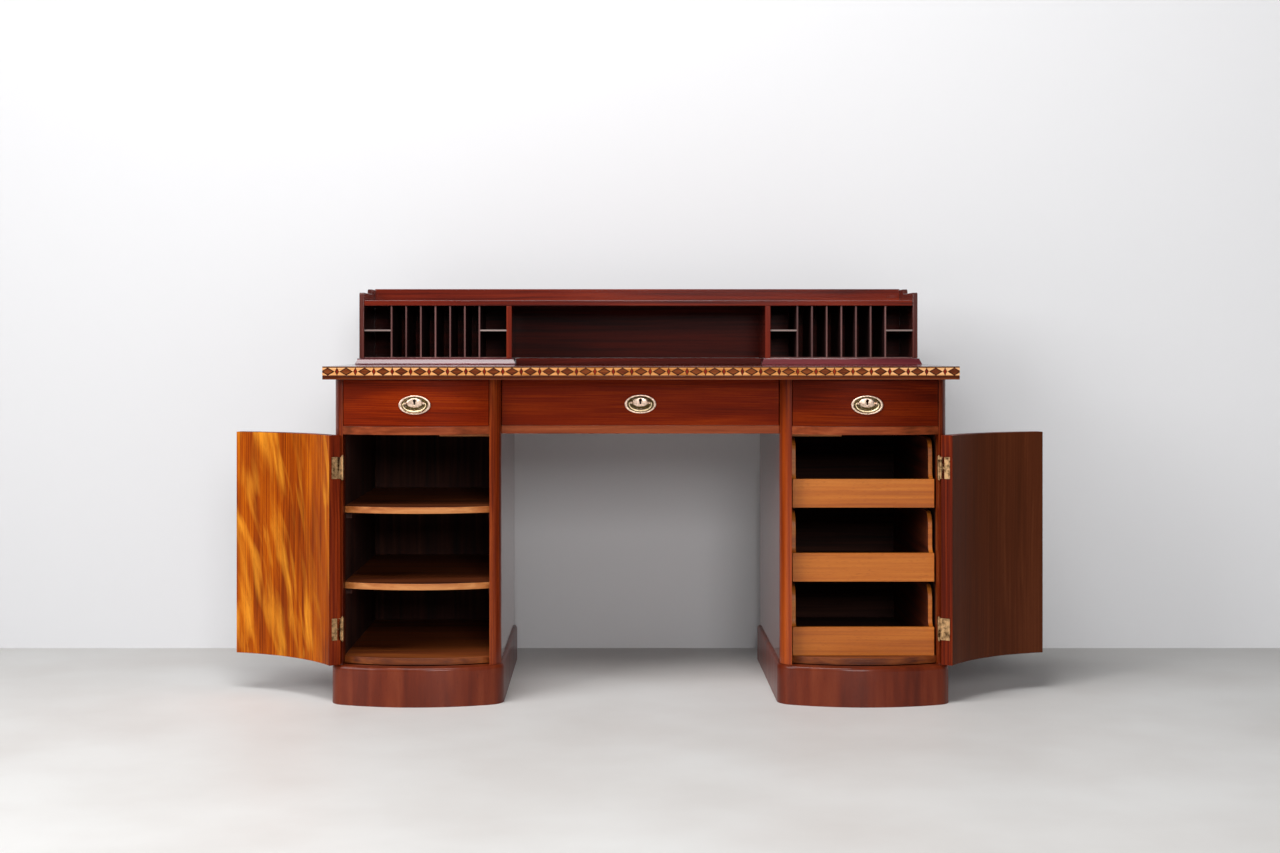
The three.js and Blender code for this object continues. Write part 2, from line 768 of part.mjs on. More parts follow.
// End of the gallery: its top steps up through an ogee towards the back
function gallerySide(name, side) {
  const low = galleryBaseHeight + fit;
  const corner = arc(galleryCornerRadius, galleryFrontHeight - galleryCornerRadius, galleryCornerRadius,
    Math.PI, Math.PI / 2, roundSteps);
  const step = [];
  for (let i = 0; i <= 2 * roundSteps; i += 1) {
    const share = i / (2 * roundSteps);
    const rise = (1 - Math.cos(Math.PI * share)) / 2;
    step.push([galleryStepStart + galleryStepRun * share,
      galleryFrontHeight + (galleryRearHeight - galleryFrontHeight) * rise]);
  }
  const outline = [[0, low], ...corner, ...step, [galleryDepth, galleryRearHeight], [galleryDepth, low]];
  const x0 = side < 0 ? -galleryWidth / 2 : galleryWidth / 2 - gallerySideThickness;
  return mesh(name, sidewaysPrism(outline.reverse(), x0, x0 + gallerySideThickness), darkMahogany);
}

// Pigeonholes of one bay: upright dividers, two half-height shelves and the inner partition on one floor
function pigeonholes(name, side) {
  const outer = galleryWidth / 2 - gallerySideThickness - fit;
  const inner = centreBayWidth / 2;
  const bay = outer - inner - partitionThickness;
  const slot = (bay - 2 * wideCellWidth - dividerCount * dividerThickness) / (dividerCount - 1);
  const back = galleryDepth - galleryBackThickness - fit;
  const floorLow = galleryBaseHeight + fit;
  const floorTop = floorLow + insertFloorThickness;
  const top = topShelfUnderside - fit;
  const slab = (from, to, front, z0, z1) =>
    block(side * (outer - from), side * (outer - to), front, back, z0, z1);
  const floor = slab(0, bay + partitionThickness, dividerSetback, floorLow, floorTop);
  const parts = [slab(bay, bay + partitionThickness, 0, floorLow, top)];
  for (let i = 0; i < dividerCount; i += 1) {
    const from = wideCellWidth + i * (slot + dividerThickness);
    parts.push(slab(from, from + dividerThickness, dividerSetback, floorLow, top));
  }
  const shelfLow = floorLow + halfShelfRise;
  const shelfTop = shelfLow + dividerThickness;
  parts.push(slab(0, wideCellWidth + dividerThickness, dividerSetback, shelfLow, shelfTop));
  parts.push(slab(bay - wideCellWidth - dividerThickness, bay + dividerThickness,
    dividerSetback, shelfLow, shelfTop));
  return mesh(name, join(floor, ...parts), darkMahogany);
}

function gallery() {
  const group = new THREE.Group();
  group.position.set(0, carcassDepth - galleryBackInset - galleryDepth, deskHeight);
  const inner = galleryWidth / 2 - gallerySideThickness - fit;
  const floorHalf = centreBayWidth / 2 - galleryBaseProjection - fit;
  const backFront = galleryDepth - galleryBackThickness;
  group.add(
    galleryBase('gallery_left_base', -1),
    galleryBase('gallery_right_base', 1),
    mesh('gallery_centre_floor', block(-floorHalf, floorHalf, centreFloorSetback, galleryDepth,
      fit, galleryBaseHeight), darkMahogany),
    gallerySide('gallery_left_end', -1),
    gallerySide('gallery_right_end', 1),
    pigeonholes('left_pigeonholes', -1),
    pigeonholes('right_pigeonholes', 1),
    mesh('gallery_top_shelf', block(-inner, inner, 0, backFront - fit,
      topShelfUnderside, topShelfUnderside + topShelfThickness), darkMahogany),
    mesh('gallery_back', block(-inner, inner, backFront, galleryDepth,
      galleryBaseHeight + fit, galleryBackHeight), darkMahogany),
  );
  return group;
}

// Assembly: the origin lies on the floor, under the middle of the desktop
const desk = new THREE.Group();
desk.position.y = -originY;
desk.add(
  ...desktop(),
  pedestal('left', -1, bearers, satinwood,
    Object.entries(shelfRises).map(([name, rise]) => shelf(`${name}_shelf`, -1, rise))),
  pedestal('right', 1, runners, plainMahogany,
    trayNames.map((name, level) => tray(`${name}_tray`, 1, level))),
  ...kneeholeFrieze(),
  ...centreDrawer(),
  gallery(),
);

export default desk;
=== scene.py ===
"""Looks of a mahogany pedestal writing desk with a pigeonhole gallery.

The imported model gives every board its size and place. Here each board gets eased edges and its own wood, and the
fine work is made as new surfaces: the inlaid diamond band, the gallery's base mouldings, the oval handle plates with
their bails, and the screws of the hinges. Lengths are metres unless a name ends in mm.
"""

import json
import logging
import math
import zlib
from dataclasses import dataclass
from enum import Enum
from typing import Any, Callable, Iterable, Sequence

import bmesh
import bpy
import numpy as np
from mathutils import Matrix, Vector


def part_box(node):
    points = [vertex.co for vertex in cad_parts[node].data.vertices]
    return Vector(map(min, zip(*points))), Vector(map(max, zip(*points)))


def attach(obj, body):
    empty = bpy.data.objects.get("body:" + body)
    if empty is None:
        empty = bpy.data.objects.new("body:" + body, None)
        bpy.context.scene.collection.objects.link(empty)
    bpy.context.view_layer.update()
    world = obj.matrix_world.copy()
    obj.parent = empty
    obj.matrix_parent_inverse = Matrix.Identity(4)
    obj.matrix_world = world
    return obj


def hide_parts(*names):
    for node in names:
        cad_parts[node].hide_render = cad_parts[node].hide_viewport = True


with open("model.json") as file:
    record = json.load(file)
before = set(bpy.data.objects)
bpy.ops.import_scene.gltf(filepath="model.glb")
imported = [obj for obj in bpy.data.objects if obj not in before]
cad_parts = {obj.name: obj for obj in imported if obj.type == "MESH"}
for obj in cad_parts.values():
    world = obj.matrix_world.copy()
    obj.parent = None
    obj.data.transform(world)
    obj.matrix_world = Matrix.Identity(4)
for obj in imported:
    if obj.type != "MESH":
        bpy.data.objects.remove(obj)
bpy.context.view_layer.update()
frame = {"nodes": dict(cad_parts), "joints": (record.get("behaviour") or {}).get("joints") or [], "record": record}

logging.basicConfig(level=logging.INFO, format="%(message)s")
log = logging.getLogger("desk")

MM = 0.001
DOOR_OPEN = math.radians(217)  # turn of a door from shut to where it rests
LOG_REACH = 4.0  # a board is cut from a place in the log within this distance of its middle
SHARP = 35.0  # edges that turn by more degrees than this are shaded sharp
SQUARE = 0.8  # a face looks along a direction when its normal's cosine to it is more than this
BODY_OF = {node: body for body, nodes in frame["record"]["behaviour"]["bodies"].items() for node in nodes}
SLOT_OF = {part["node"]: part["material_slot"] for part in frame["record"]["subparts"]}

Points = np.ndarray
Mask = np.ndarray
Chooser = Callable[[Points, Points], Mask]
Piece = bpy.types.Object
Material = bpy.types.Material
Tree = bpy.types.NodeTree
Socket = bpy.types.NodeSocket
Pair = tuple[float, float]
Triple = tuple[float, float, float]


# Colours and nodes

def linear(code: str) -> tuple[float, float, float, float]:
    """Turn an sRGB hex colour into linear light.

    Args:
        code: Six hex digits with a leading hash sign.

    Returns:
        Linear red, green and blue, and an alpha of one.
    """
    values = [int(code[i:i + 2], 16) / 255 for i in (1, 3, 5)]
    light = [v / 12.92 if v <= 0.04045 else ((v + 0.055) / 1.055) ** 2.4 for v in values]
    return light[0], light[1], light[2], 1.0


def add_node(tree: Tree, kind: str, links: dict[Any, Any] | None = None, **settings: Any) -> bpy.types.Node:
    """Add a shader node with its settings, and fill or connect its inputs.

    Args:
        tree: Node tree to add to.
        kind: Blender's name of the node type, without the ShaderNode that it starts with.
        links: For each input, by name or number, a value or the socket that feeds it.
        **settings: Properties of the node.

    Returns:
        The new node.
    """
    node = tree.nodes.new(f"ShaderNode{kind}")
    for key, value in settings.items():
        setattr(node, key, value)
    for key, value in (links or {}).items():
        if isinstance(value, Socket):
            tree.links.new(value, node.inputs[key])
        else:
            node.inputs[key].default_value = value
    return node


def new_tree(name: str) -> tuple[Material, Tree]:
    """Make an empty node material.

    Args:
        name: The material's name.

    Returns:
        The material and its node tree.
    """
    material = bpy.data.materials.new(name)
    material.use_nodes = True
    material.node_tree.nodes.clear()
    return material, material.node_tree


def marks(tree: Tree, coords: Socket, size_mm: Pair, detail: float) -> bpy.types.Node:
    """Spread marks of a real length along the grain and a real width across it.

    They are noise on coordinates that are divided by the marks' length and width.

    Args:
        tree: Node tree to add to.
        coords: Coordinates with the grain along X.
        size_mm: Length and width of the marks.
        detail: Octaves of finer noise.

    Returns:
        The noise node.
    """
    long, wide = (1 / (size * MM) for size in size_mm)
    scaled = add_node(tree, "VectorMath", {0: coords, 1: (long, wide, wide)}, operation="MULTIPLY").outputs[0]
    return add_node(tree, "TexNoise", {"Vector": scaled, "Scale": 1.0, "Detail": detail})


def wander(tree: Tree, coords: Socket, size_mm: Pair, reach_mm: float, detail: float) -> Socket:
    """Let the grain wander sideways: coordinates plus the reach times wide noise, less its middle value.

    Args:
        tree: Node tree to add to.
        coords: Coordinates with the grain along X.
        size_mm: Length and width of the bends.
        reach_mm: How far the noise can move the grain.
        detail: Octaves of finer noise.

    Returns:
        The bent coordinates.
    """
    noise = marks(tree, coords, size_mm, detail).outputs["Color"]
    shift = add_node(tree, "VectorMath", {0: noise, 1: (0.5, 0.5, 0.5)}, operation="SUBTRACT").outputs[0]
    return add_node(tree, "VectorMath", {0: shift, 1: (0.0, reach_mm * MM, reach_mm * MM), 2: coords},
                    operation="MULTIPLY_ADD").outputs[0]


class Grain(Enum):
    """Direction of a board's grain: the turn that brings it onto the pattern's X axis, and the pattern's scale.

    A veneer bends with its bowed board, so that its pattern doesn't change with the depth.
    """

    ALONG_X = ((0.0, 0.0, 0.0), (1.0, 1.0, 1.0))
    ALONG_Y = ((0.0, 0.0, -math.pi / 2), (1.0, 1.0, 1.0))
    ALONG_Z = ((0.0, math.pi / 2, 0.0), (1.0, 1.0, 1.0))
    VENEER_X = ((0.0, 0.0, 0.0), (1.0, 0.0, 1.0))


@dataclass(frozen=True)
class Polish:
    """Surface finish of a wood: the shine of the wood itself, and the clear film over it.

    Under a film the wood hardly shines, because its pores are full of the same polish. The film is the shader's coat.
    """

    roughness: float
    shine: float
    film: float
    film_roughness: float
    relief_mm: float
    uneven: Pair = (-0.05, 0.06)


# Shellac, from a full mirror to a rubbed sheen. Then wax, which glows softly, a thin satin film, and bare matt wood.
FRENCH_POLISH = Polish(roughness=0.4, shine=0.06, film=1.0, film_roughness=0.09, relief_mm=0.02)
CLEAR_POLISH = Polish(roughness=0.42, shine=0.04, film=0.42, film_roughness=0.08, relief_mm=0.03)
RUBBED_POLISH = Polish(roughness=0.42, shine=0.12, film=0.3, film_roughness=0.14, relief_mm=0.04)
WAX = Polish(roughness=0.5, shine=0.3, film=0.15, film_roughness=0.3, relief_mm=0.06)
SATIN = Polish(roughness=0.5, shine=0.05, film=0.08, film_roughness=0.22, relief_mm=0.04)
BARE = Polish(roughness=0.75, shine=0.3, film=0.0, film_roughness=0.5, relief_mm=0.1)


@dataclass(frozen=True)
class Figure:
    """Wide tilted wisps over an upright panel, lighter where the grain of a crotch turns towards the eye.

    The wisps gather in patches. A range gives the noise values where a wisp or a patch starts and is full. The turn
    brings the panel of an open door back to face the front.
    """

    colour: str
    wisp_mm: Pair
    tilt: float
    turn: float
    strength: float
    wisp_range: Pair = (0.48, 0.74)
    patch_mm: Pair = (230.0, 110.0)
    patch_range: Pair = (0.4, 0.56)
    least_share: float = 0.15
    wander_mm: Pair = (240.0, 120.0)
    reach_mm: float = 70.0

    def strength_at(self, tree: Tree, coords: Socket, place: Triple) -> Socket:
        """Work out how strongly the figure shows at each place of the panel.

        Args:
            tree: Node tree to add to.
            coords: The object's coordinates.
            place: Place in the log.

        Returns:
            A socket with the share of the figure's colour.
        """
        squared = add_node(tree, "Mapping", {"Vector": coords, "Rotation": (0.0, 0.0, self.turn)}).outputs[0]
        tilted = add_node(tree, "Mapping", {
            "Vector": squared, "Location": place, "Rotation": (0.0, math.pi / 2 + self.tilt, 0.0)}).outputs[0]
        bent = wander(tree, tilted, self.wander_mm, self.reach_mm, 1.0)
        wisps = marks(tree, bent, self.wisp_mm, 2.5).outputs["Fac"]
        patches = marks(tree, bent, self.patch_mm, 1.0).outputs["Fac"]
        lit = add_node(tree, "MapRange", {
            "Value": wisps, "From Min": self.wisp_range[0], "From Max": self.wisp_range[1],
            "To Max": self.strength}).outputs[0]
        gathered = add_node(tree, "MapRange", {
            "Value": patches, "From Min": self.patch_range[0], "From Max": self.patch_range[1],
            "To Min": self.least_share}).outputs[0]
        return add_node(tree, "Math", {0: lit, 1: gathered}, operation="MULTIPLY").outputs[0]


@dataclass(frozen=True)
class Wood:
    """A sawn and finished wood: long streaks along the grain, wide clouds, short dark pores, and maybe a figure.

    Each is stretched noise, so that its length and width are real sizes. Mahogany's own pores are about 0.2 mm wide.
    They are drawn 0.9 mm wide here, the finest that shows at this distance.
    """

    name: str
    heart: str
    body: str
    light: str
    polish: Polish
    streak_mm: Pair = (420.0, 9.0)
    cloud_mm: Pair = (700.0, 60.0)
    cloud_share: float = 0.45
    tone_spread: float = 0.15
    contrast: float = 1.0
    pore_mm: Pair = (14.0, 0.9)
    pore_range: Pair = (0.6, 0.7)
    pore_depth: float = 0.35
    wander_mm: Pair = (900.0, 170.0)
    reach_mm: float = 34.0
    figure: Figure | None = None

    def material(self, piece: str, grain: Grain) -> Material:
        """Make this wood's material for one piece, cut from a place of its own in the log.

        Args:
            piece: The piece's name, which picks the place in the log.
            grain: Direction of the piece's grain.

        Returns:
            The material.
        """
        material, tree = new_tree(f"{self.name}.{piece}")
        place = tuple(np.random.default_rng(zlib.crc32(piece.encode())).uniform(-LOG_REACH, LOG_REACH, 3))
        coords = add_node(tree, "TexCoord").outputs["Object"]
        turn, scale = grain.value
        turned = add_node(tree, "Mapping", {
            "Vector": coords, "Location": place, "Rotation": turn, "Scale": scale}).outputs[0]
        bent = wander(tree, turned, self.wander_mm, self.reach_mm, 2.0)
        streak = marks(tree, bent, self.streak_mm, 4.0).outputs["Fac"]
        cloud = marks(tree, bent, self.cloud_mm, 2.0).outputs["Fac"]
        pores = marks(tree, bent, self.pore_mm, 1.0).outputs["Fac"]
        colour = self._tone(tree, streak, cloud)
        if self.figure:
            share = self.figure.strength_at(tree, coords, place)
            colour = add_node(tree, "Mix", {"Factor": share, "A": colour, "B": linear(self.figure.colour)},
                              data_type="RGBA").outputs["Result"]
        pit = add_node(tree, "MapRange", {
            "Value": pores, "From Min": self.pore_range[0], "From Max": self.pore_range[1],
            "To Max": self.pore_depth}).outputs[0]
        colour = add_node(tree, "Mix", {"Factor": pit, "A": colour, "B": linear(self.heart)},
                          data_type="RGBA").outputs["Result"]
        self._finish(tree, colour, streak, pit)
        return material

    def _tone(self, tree: Tree, streak: Socket, cloud: Socket) -> Socket:
        """Colour the wood from its heart's tone through its body's to its lightest, by streaks and clouds.

        Args:
            tree: Node tree to add to.
            streak: Noise of the streaks.
            cloud: Noise of the clouds.

        Returns:
            The colour.
        """
        mixed = add_node(tree, "Mix", {"Factor": self.cloud_share, "A": streak, "B": cloud}).outputs["Result"]
        spread = self.tone_spread / self.contrast
        ramp = add_node(tree, "ValToRGB", {"Fac": mixed})
        stops = ramp.color_ramp.elements
        stops[0].position, stops[0].color = 0.5 - spread, linear(self.heart)
        stops[1].position, stops[1].color = 0.5 + spread, linear(self.light)
        stops.new(0.5).color = linear(self.body)
        return ramp.outputs["Color"]

    def _finish(self, tree: Tree, colour: Socket, streak: Socket, pit: Socket) -> None:
        """Add the shader: the streaks vary its roughness a little, the pores are sunk, and the film lies over all.

        Args:
            tree: Node tree to add to.
            colour: Colour of the wood.
            streak: Noise of the streaks.
            pit: Depth of the pores.
        """
        polish = self.polish
        rough = add_node(tree, "MapRange", {
            "Value": streak, "From Min": 0.3, "From Max": 0.7,
            "To Min": polish.roughness + polish.uneven[0],
            "To Max": polish.roughness + polish.uneven[1]}).outputs[0]
        relief = add_node(tree, "Bump", {
            "Strength": 0.4, "Distance": polish.relief_mm * MM, "Height": pit}, invert=True).outputs[0]
        shader = add_node(tree, "BsdfPrincipled", {
            "Base Color": colour, "Roughness": rough, "IOR": 1.5, "Normal": relief,
            "Specular IOR Level": polish.shine, "Coat Weight": polish.film,
            "Coat Roughness": polish.film_roughness}).outputs[0]
        add_node(tree, "OutputMaterial", {"Surface": shader})


@dataclass(frozen=True)
class Brass:
    """Cast and stamped brass that has been rubbed bright on its high places and is tarnished in its hollows.

    A mesh attribute named recess, one in a hollow and zero on a high place, says where the tarnish stays. Real specks
    of tarnish are about a millimetre wide, and are drawn 5 to 8 mm wide so that they show.
    """

    name: str
    bright: str
    tarnish: str
    roughness: float
    mottle_mm: float = 5.0
    stain: float = 0.5
    dulling: float = 0.22

    def material(self) -> Material:
        """Make the material.

        Returns:
            The material.
        """
        material, tree = new_tree(self.name)
        coords = add_node(tree, "TexCoord").outputs["Object"]
        recess = add_node(tree, "Attribute", attribute_name="recess").outputs["Fac"]
        mottle = add_node(tree, "TexNoise", {
            "Vector": coords, "Scale": 1 / (self.mottle_mm * MM), "Detail": 4.0}).outputs["Fac"]
        stain = add_node(tree, "MapRange", {
            "Value": mottle, "From Min": 0.4, "From Max": 0.7, "To Max": self.stain}).outputs[0]
        dull = add_node(tree, "Math", {0: recess, 1: stain}, operation="ADD", use_clamp=True).outputs[0]
        colour = add_node(tree, "Mix", {"Factor": dull, "A": linear(self.bright), "B": linear(self.tarnish)},
                          data_type="RGBA").outputs["Result"]
        rough = add_node(tree, "MapRange", {
            "Value": dull, "To Min": self.roughness, "To Max": self.roughness + self.dulling}).outputs[0]
        shader = add_node(tree, "BsdfPrincipled", {
            "Base Color": colour, "Metallic": 1.0, "Roughness": rough}).outputs[0]
        add_node(tree, "OutputMaterial", {"Surface": shader})
        return material


# Knife-cut veneer under a clear film: deep red-orange, with fine straight streaks and a soft mirror.
DRAWER_VENEER = Wood("clear_polished_mahogany_veneer", "#501000", "#721C00", "#923202", CLEAR_POLISH,
                     streak_mm=(240.0, 2.4), cloud_mm=(420.0, 46.0), contrast=0.75)
# A darker copy for the right drawer: painted shade, where the window's light falls off.
SHADED_DRAWER_VENEER = Wood("shaded_polished_mahogany_veneer", "#3C0A00", "#5A1400", "#762600", CLEAR_POLISH,
                          streak_mm=(240.0, 2.4), cloud_mm=(420.0, 46.0), contrast=0.75)
# French-polished boards: dark red-brown, with a sharp mirror of the room.
SIDE_MAHOGANY = Wood("french_polished_mahogany", "#461206", "#6A2208", "#8E3C10", FRENCH_POLISH,
                     streak_mm=(600.0, 6.0))
DESKTOP_MAHOGANY = Wood("desktop_mahogany", "#3A1006", "#5E220E", "#7E3A1A", FRENCH_POLISH)
EDGE_STRING = Wood("dark_edge_string", "#2A0C02", "#4C1C04", "#642A08", FRENCH_POLISH, streak_mm=(200.0, 2.0))
# A paler wood for the desktop's lower front edge: a painted highlight of its rounded arris.
ARRIS_HIGHLIGHT = Wood("desktop_arris_painted_highlight", "#522006", "#743412", "#8C4A26", FRENCH_POLISH)
# Posts and rails rubbed by hands and sleeves: long streaks, from dark red to golden, and a soft shine.
POST_MAHOGANY = Wood("rubbed_polished_mahogany", "#521606", "#7E2C0A", "#AA4C18", RUBBED_POLISH,
                     streak_mm=(700.0, 5.0))
# A darker copy for the outer posts: painted shade.
SHADED_POST = Wood("shaded_rubbed_polished_mahogany", "#3E1006", "#641E08", "#8C3A12", RUBBED_POLISH,
                 streak_mm=(700.0, 5.0))
# A lighter, golden copy for the right pedestal's inner post: painted light, where it faces the window.
LIT_GOLDEN_POST = Wood("lit_golden_rubbed_polished_mahogany", "#58180A", "#8A3408", "#B05018", RUBBED_POLISH,
                   streak_mm=(700.0, 7.0))
RAIL_MAHOGANY = Wood("mahogany_rail", "#5C260C", "#823818", "#9A4E28", RUBBED_POLISH)
# Crossbanded veneer: broad quiet upright bands of brown-red.
PLINTH_MAHOGANY = Wood("crossbanded_plinth_mahogany", "#44150A", "#66240E", "#80381C", RUBBED_POLISH,
                       streak_mm=(260.0, 22.0), cloud_mm=(220.0, 70.0), contrast=0.6)
# Red-stained gallery: a cherry glow on the shelf and back, and wine-dark ends and bases that mirror the lamps.
GALLERY_MAHOGANY = Wood("red_stained_mahogany", "#400C06", "#6C1C0A", "#8A2E14", FRENCH_POLISH)
# The bases' and ends' greyish mauve tone is a painted reflection over the wine-dark stained wood.
GALLERY_BASE = Wood("dark_stained_mahogany_base", "#3C1216", "#5A1E24", "#723034", FRENCH_POLISH)
GALLERY_END = Wood("dark_stained_end_with_painted_reflection", "#321210", "#50241E", "#6C3A34", FRENCH_POLISH)
# A darker copy for the bays and the front of the centre floor: painted shade.
GALLERY_BAY = Wood("shaded_red_stained_mahogany", "#260604", "#420E06", "#5A180C", SATIN)
# Thin dividers: nearly black inside, a painted shade in the cells, and greyish pale edges, a painted sheen of the
# light on them.
SHADED_PIGEONHOLE_INSIDE = Wood("thin_mahogany_painted_shade", "#1E1214", "#34201F", "#463030", SATIN)
PIGEONHOLE_EDGE = Wood("divider_edge_painted_sheen", "#4A2624", "#663E3A", "#825854", WAX)
HALF_SHELF_EDGE = Wood("half_shelf_edge_painted_sheen", "#74605C", "#927E78", "#AC9C96", WAX)
# Unpolished insides and backs: matt, with open pores.
# Near black for the insides of the cupboards, drawer beds and trays: painted shade.
SHADED_CUPBOARD_INSIDE = Wood("cupboard_inside_painted_shade", "#28140E", "#442218", "#5A3426", BARE)
DRAWER_LINING = Wood("unpolished_drawer_lining", "#5A3018", "#8A5430", "#A87044", BARE)
BACK_BOARD = Wood("stained_back_board", "#3A1A0E", "#5C3018", "#744224", BARE)
# Waxed shelves and trays: a low sheen, dark on the shelves' tops as painted shade inside the cupboards, and pale
# pinkish orange where they face the room.
SHADED_SHELF_TOP = Wood("mahogany_shelf_painted_shade", "#3A1408", "#622C0C", "#7C4014", WAX)
BOTTOM_BOARD = Wood("mahogany_bottom_board", "#4A1C0C", "#7A3A14", "#96501E", WAX)
SHELF_LIPPING = Wood("pale_mahogany_lipping", "#944E1E", "#B26C36", "#C8864C", WAX)
TRAY_MAHOGANY = Wood("waxed_pale_mahogany", "#92460E", "#B26018", "#C27428", WAX, streak_mm=(420.0, 6.0),
                     pore_mm=(12.0, 1.5), pore_depth=0.45, contrast=0.8)
TRAY_SIDE = Wood("waxed_tray_side", "#8A4626", "#B06C46", "#C48660", WAX)
TRAY_INSIDE = Wood("darker_tray_inside", "#3A140A", "#6A2C16", "#824022", WAX)
# Doors under a thin satin film: flames of light gold on the left one, plain brown on the right, and dark edges.
DOOR_EDGE = Wood("dark_door_edge_mahogany", "#3E0E04", "#641C06", "#8C340E", SATIN, streak_mm=(700.0, 5.0))
GOLDEN_CROTCH = Wood("satin_golden_crotch_mahogany", "#6C2600", "#963E00", "#BA5C02", SATIN,
                     streak_mm=(900.0, 3.4), cloud_mm=(300.0, 45.0), contrast=1.3,
                     figure=Figure("#EE9A28", (260.0, 26.0), tilt=math.radians(11), turn=math.radians(37),
                                   strength=0.85))
PLAIN_DOOR = Wood("brown_mahogany_panel", "#44200F", "#552814", "#65341C", SATIN, streak_mm=(700.0, 5.0),
                  contrast=0.7)
# Polished inlays: pale gold satinwood, warm brown rosewood, red wood, and a near-black line round each diamond.
SATINWOOD = Wood("satinwood_inlay", "#B06A28", "#D69456", "#EEB680", FRENCH_POLISH, streak_mm=(60.0, 3.0))
ROSEWOOD = Wood("rosewood_inlay", "#461806", "#6A2E10", "#86461C", FRENCH_POLISH, streak_mm=(60.0, 3.0))
RED_INLAY = Wood("red_wood_inlay", "#4C0C02", "#7A1A06", "#96300C", FRENCH_POLISH, streak_mm=(60.0, 3.0))
# The near-black wood also lines the drawer fronts' keyholes: painted shade.
DARK_BORDER_AND_KEYHOLE_SHADE = Wood("dark_inlay_border", "#200A02", "#3A1402", "#4E1E04", FRENCH_POLISH, streak_mm=(60.0, 3.0))
# Stamped plates and cast bails shine pale where fingers rub them. The hinges are browner and duller, and the slots
# of their screws are near black. The same near-black metal lines the plates' keyholes: painted shade in the holes.
HANDLE_BRASS = Brass("stamped_brass", "#FFDFC8", "#4E4022", 0.32)
BAIL_BRASS = Brass("rubbed_bail_brass", "#FFE9BE", "#A88A54", 0.34)
HINGE_BRASS = Brass("aged_hinge_brass", "#D2A878", "#3E2814", 0.46, mottle_mm=8.0, stain=1.0)
DARK_SLOT_AND_KEYHOLE_SHADE = Brass("dark_screw_slot_and_keyhole_shade", "#2E2418", "#16100A", 0.5)


# Meshes

def read(items: Any, name: str, width: int = 1, kind: type = float) -> np.ndarray:
    """Read one property of a mesh's points, edges, corners or faces.

    Args:
        items: The mesh's collection.
        name: The property.
        width: Numbers of each item.
        kind: Type of the numbers.

    Returns:
        One number, or one row of numbers, for each item.
    """
    values = np.empty(len(items) * width, kind)
    items.foreach_get(name, values)
    return values.reshape(-1, width) if width > 1 else values


def link(name: str, data: bpy.types.ID) -> Piece:
    """Put a mesh, a lamp or a camera in the scene as an object at the origin.

    Args:
        name: The object's name.
        data: Its mesh, lamp or camera.

    Returns:
        The new object.
    """
    made = bpy.data.objects.new(name, data)
    bpy.context.scene.collection.objects.link(made)
    return made


def build(name: str, points: Points, faces: Iterable[Sequence[int]], smooth: bool = True,
          sharp: float = SHARP) -> Piece:
    """Make an object at the origin from points in the desk's frame.

    Args:
        name: The object's name.
        points: Points, one row each.
        faces: Point numbers of each face, counter-clockwise from outside.
        smooth: Whether the shading is smooth.
        sharp: Edges that turn by more than this many degrees stay sharp.

    Returns:
        The new object.
    """
    mesh = bpy.data.meshes.new(name)
    mesh.from_pydata(np.asarray(points, float).reshape(-1, 3).tolist(), [], [list(map(int, f)) for f in faces])
    mesh.validate()
    finish_shading(mesh, smooth, sharp)
    return link(name, mesh)


def finish_shading(mesh: bpy.types.Mesh, smooth: bool, sharp: float) -> None:
    """Set smooth shading with sharp edges.

    Args:
        mesh: The mesh.
        smooth: Whether the shading is smooth.
        sharp: Edges that turn by more than this many degrees stay sharp.
    """
    mesh.polygons.foreach_set("use_smooth", np.full(len(mesh.polygons), smooth))
    mesh.set_sharp_from_angle(angle=math.radians(sharp))
    mesh.update()


def grid_faces(rows: int, columns: int, closed: bool) -> np.ndarray:
    """Number the four corners of every cell of a grid of points.

    Args:
        rows: Points along the first parameter.
        columns: Points along the second parameter.
        closed: Whether the last column joins the first.

    Returns:
        One row of four point numbers for each cell.
    """
    start = np.arange(rows - 1)[:, None] * columns
    j = np.arange(columns if closed else columns - 1)
    after = (j + 1) % columns
    return np.stack([start + j, start + after, start + columns + after, start + columns + j], -1).reshape(-1, 4)


def surface(name: str, grid: Points, shell: bool = True, sharp: float = SHARP) -> Piece:
    """Make an object from a grid of points.

    Args:
        name: The object's name.
        grid: Points in an array of rows, columns and coordinates.
        shell: Whether it is a closed shell: the last column joins the first, and the end rows are filled.
        sharp: Edges that turn by more than this many degrees stay sharp.

    Returns:
        The new object.
    """
    rows, columns = grid.shape[:2]
    faces = grid_faces(rows, columns, shell).tolist()
    if shell:
        faces.append(list(range(columns))[::-1])
        faces.append(list(range((rows - 1) * columns, rows * columns)))
    return build(name, grid, faces, sharp=sharp)


def dress(piece: Piece, body: str, slot: str, *materials: Material) -> Piece:
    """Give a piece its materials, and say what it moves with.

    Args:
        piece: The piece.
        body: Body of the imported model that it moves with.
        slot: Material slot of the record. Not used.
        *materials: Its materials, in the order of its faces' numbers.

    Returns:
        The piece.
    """
    for material in materials:
        piece.data.materials.append(material)
    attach(piece, body)
    log.info("%s rides on %s", piece.name, body)
    return piece


def stand_for(piece: Piece, node: str, *materials: Material) -> Piece:
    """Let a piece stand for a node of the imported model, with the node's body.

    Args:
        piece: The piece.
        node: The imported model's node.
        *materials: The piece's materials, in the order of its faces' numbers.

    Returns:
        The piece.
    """
    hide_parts(node)
    return dress(piece, BODY_OF[node], SLOT_OF[node], *materials)


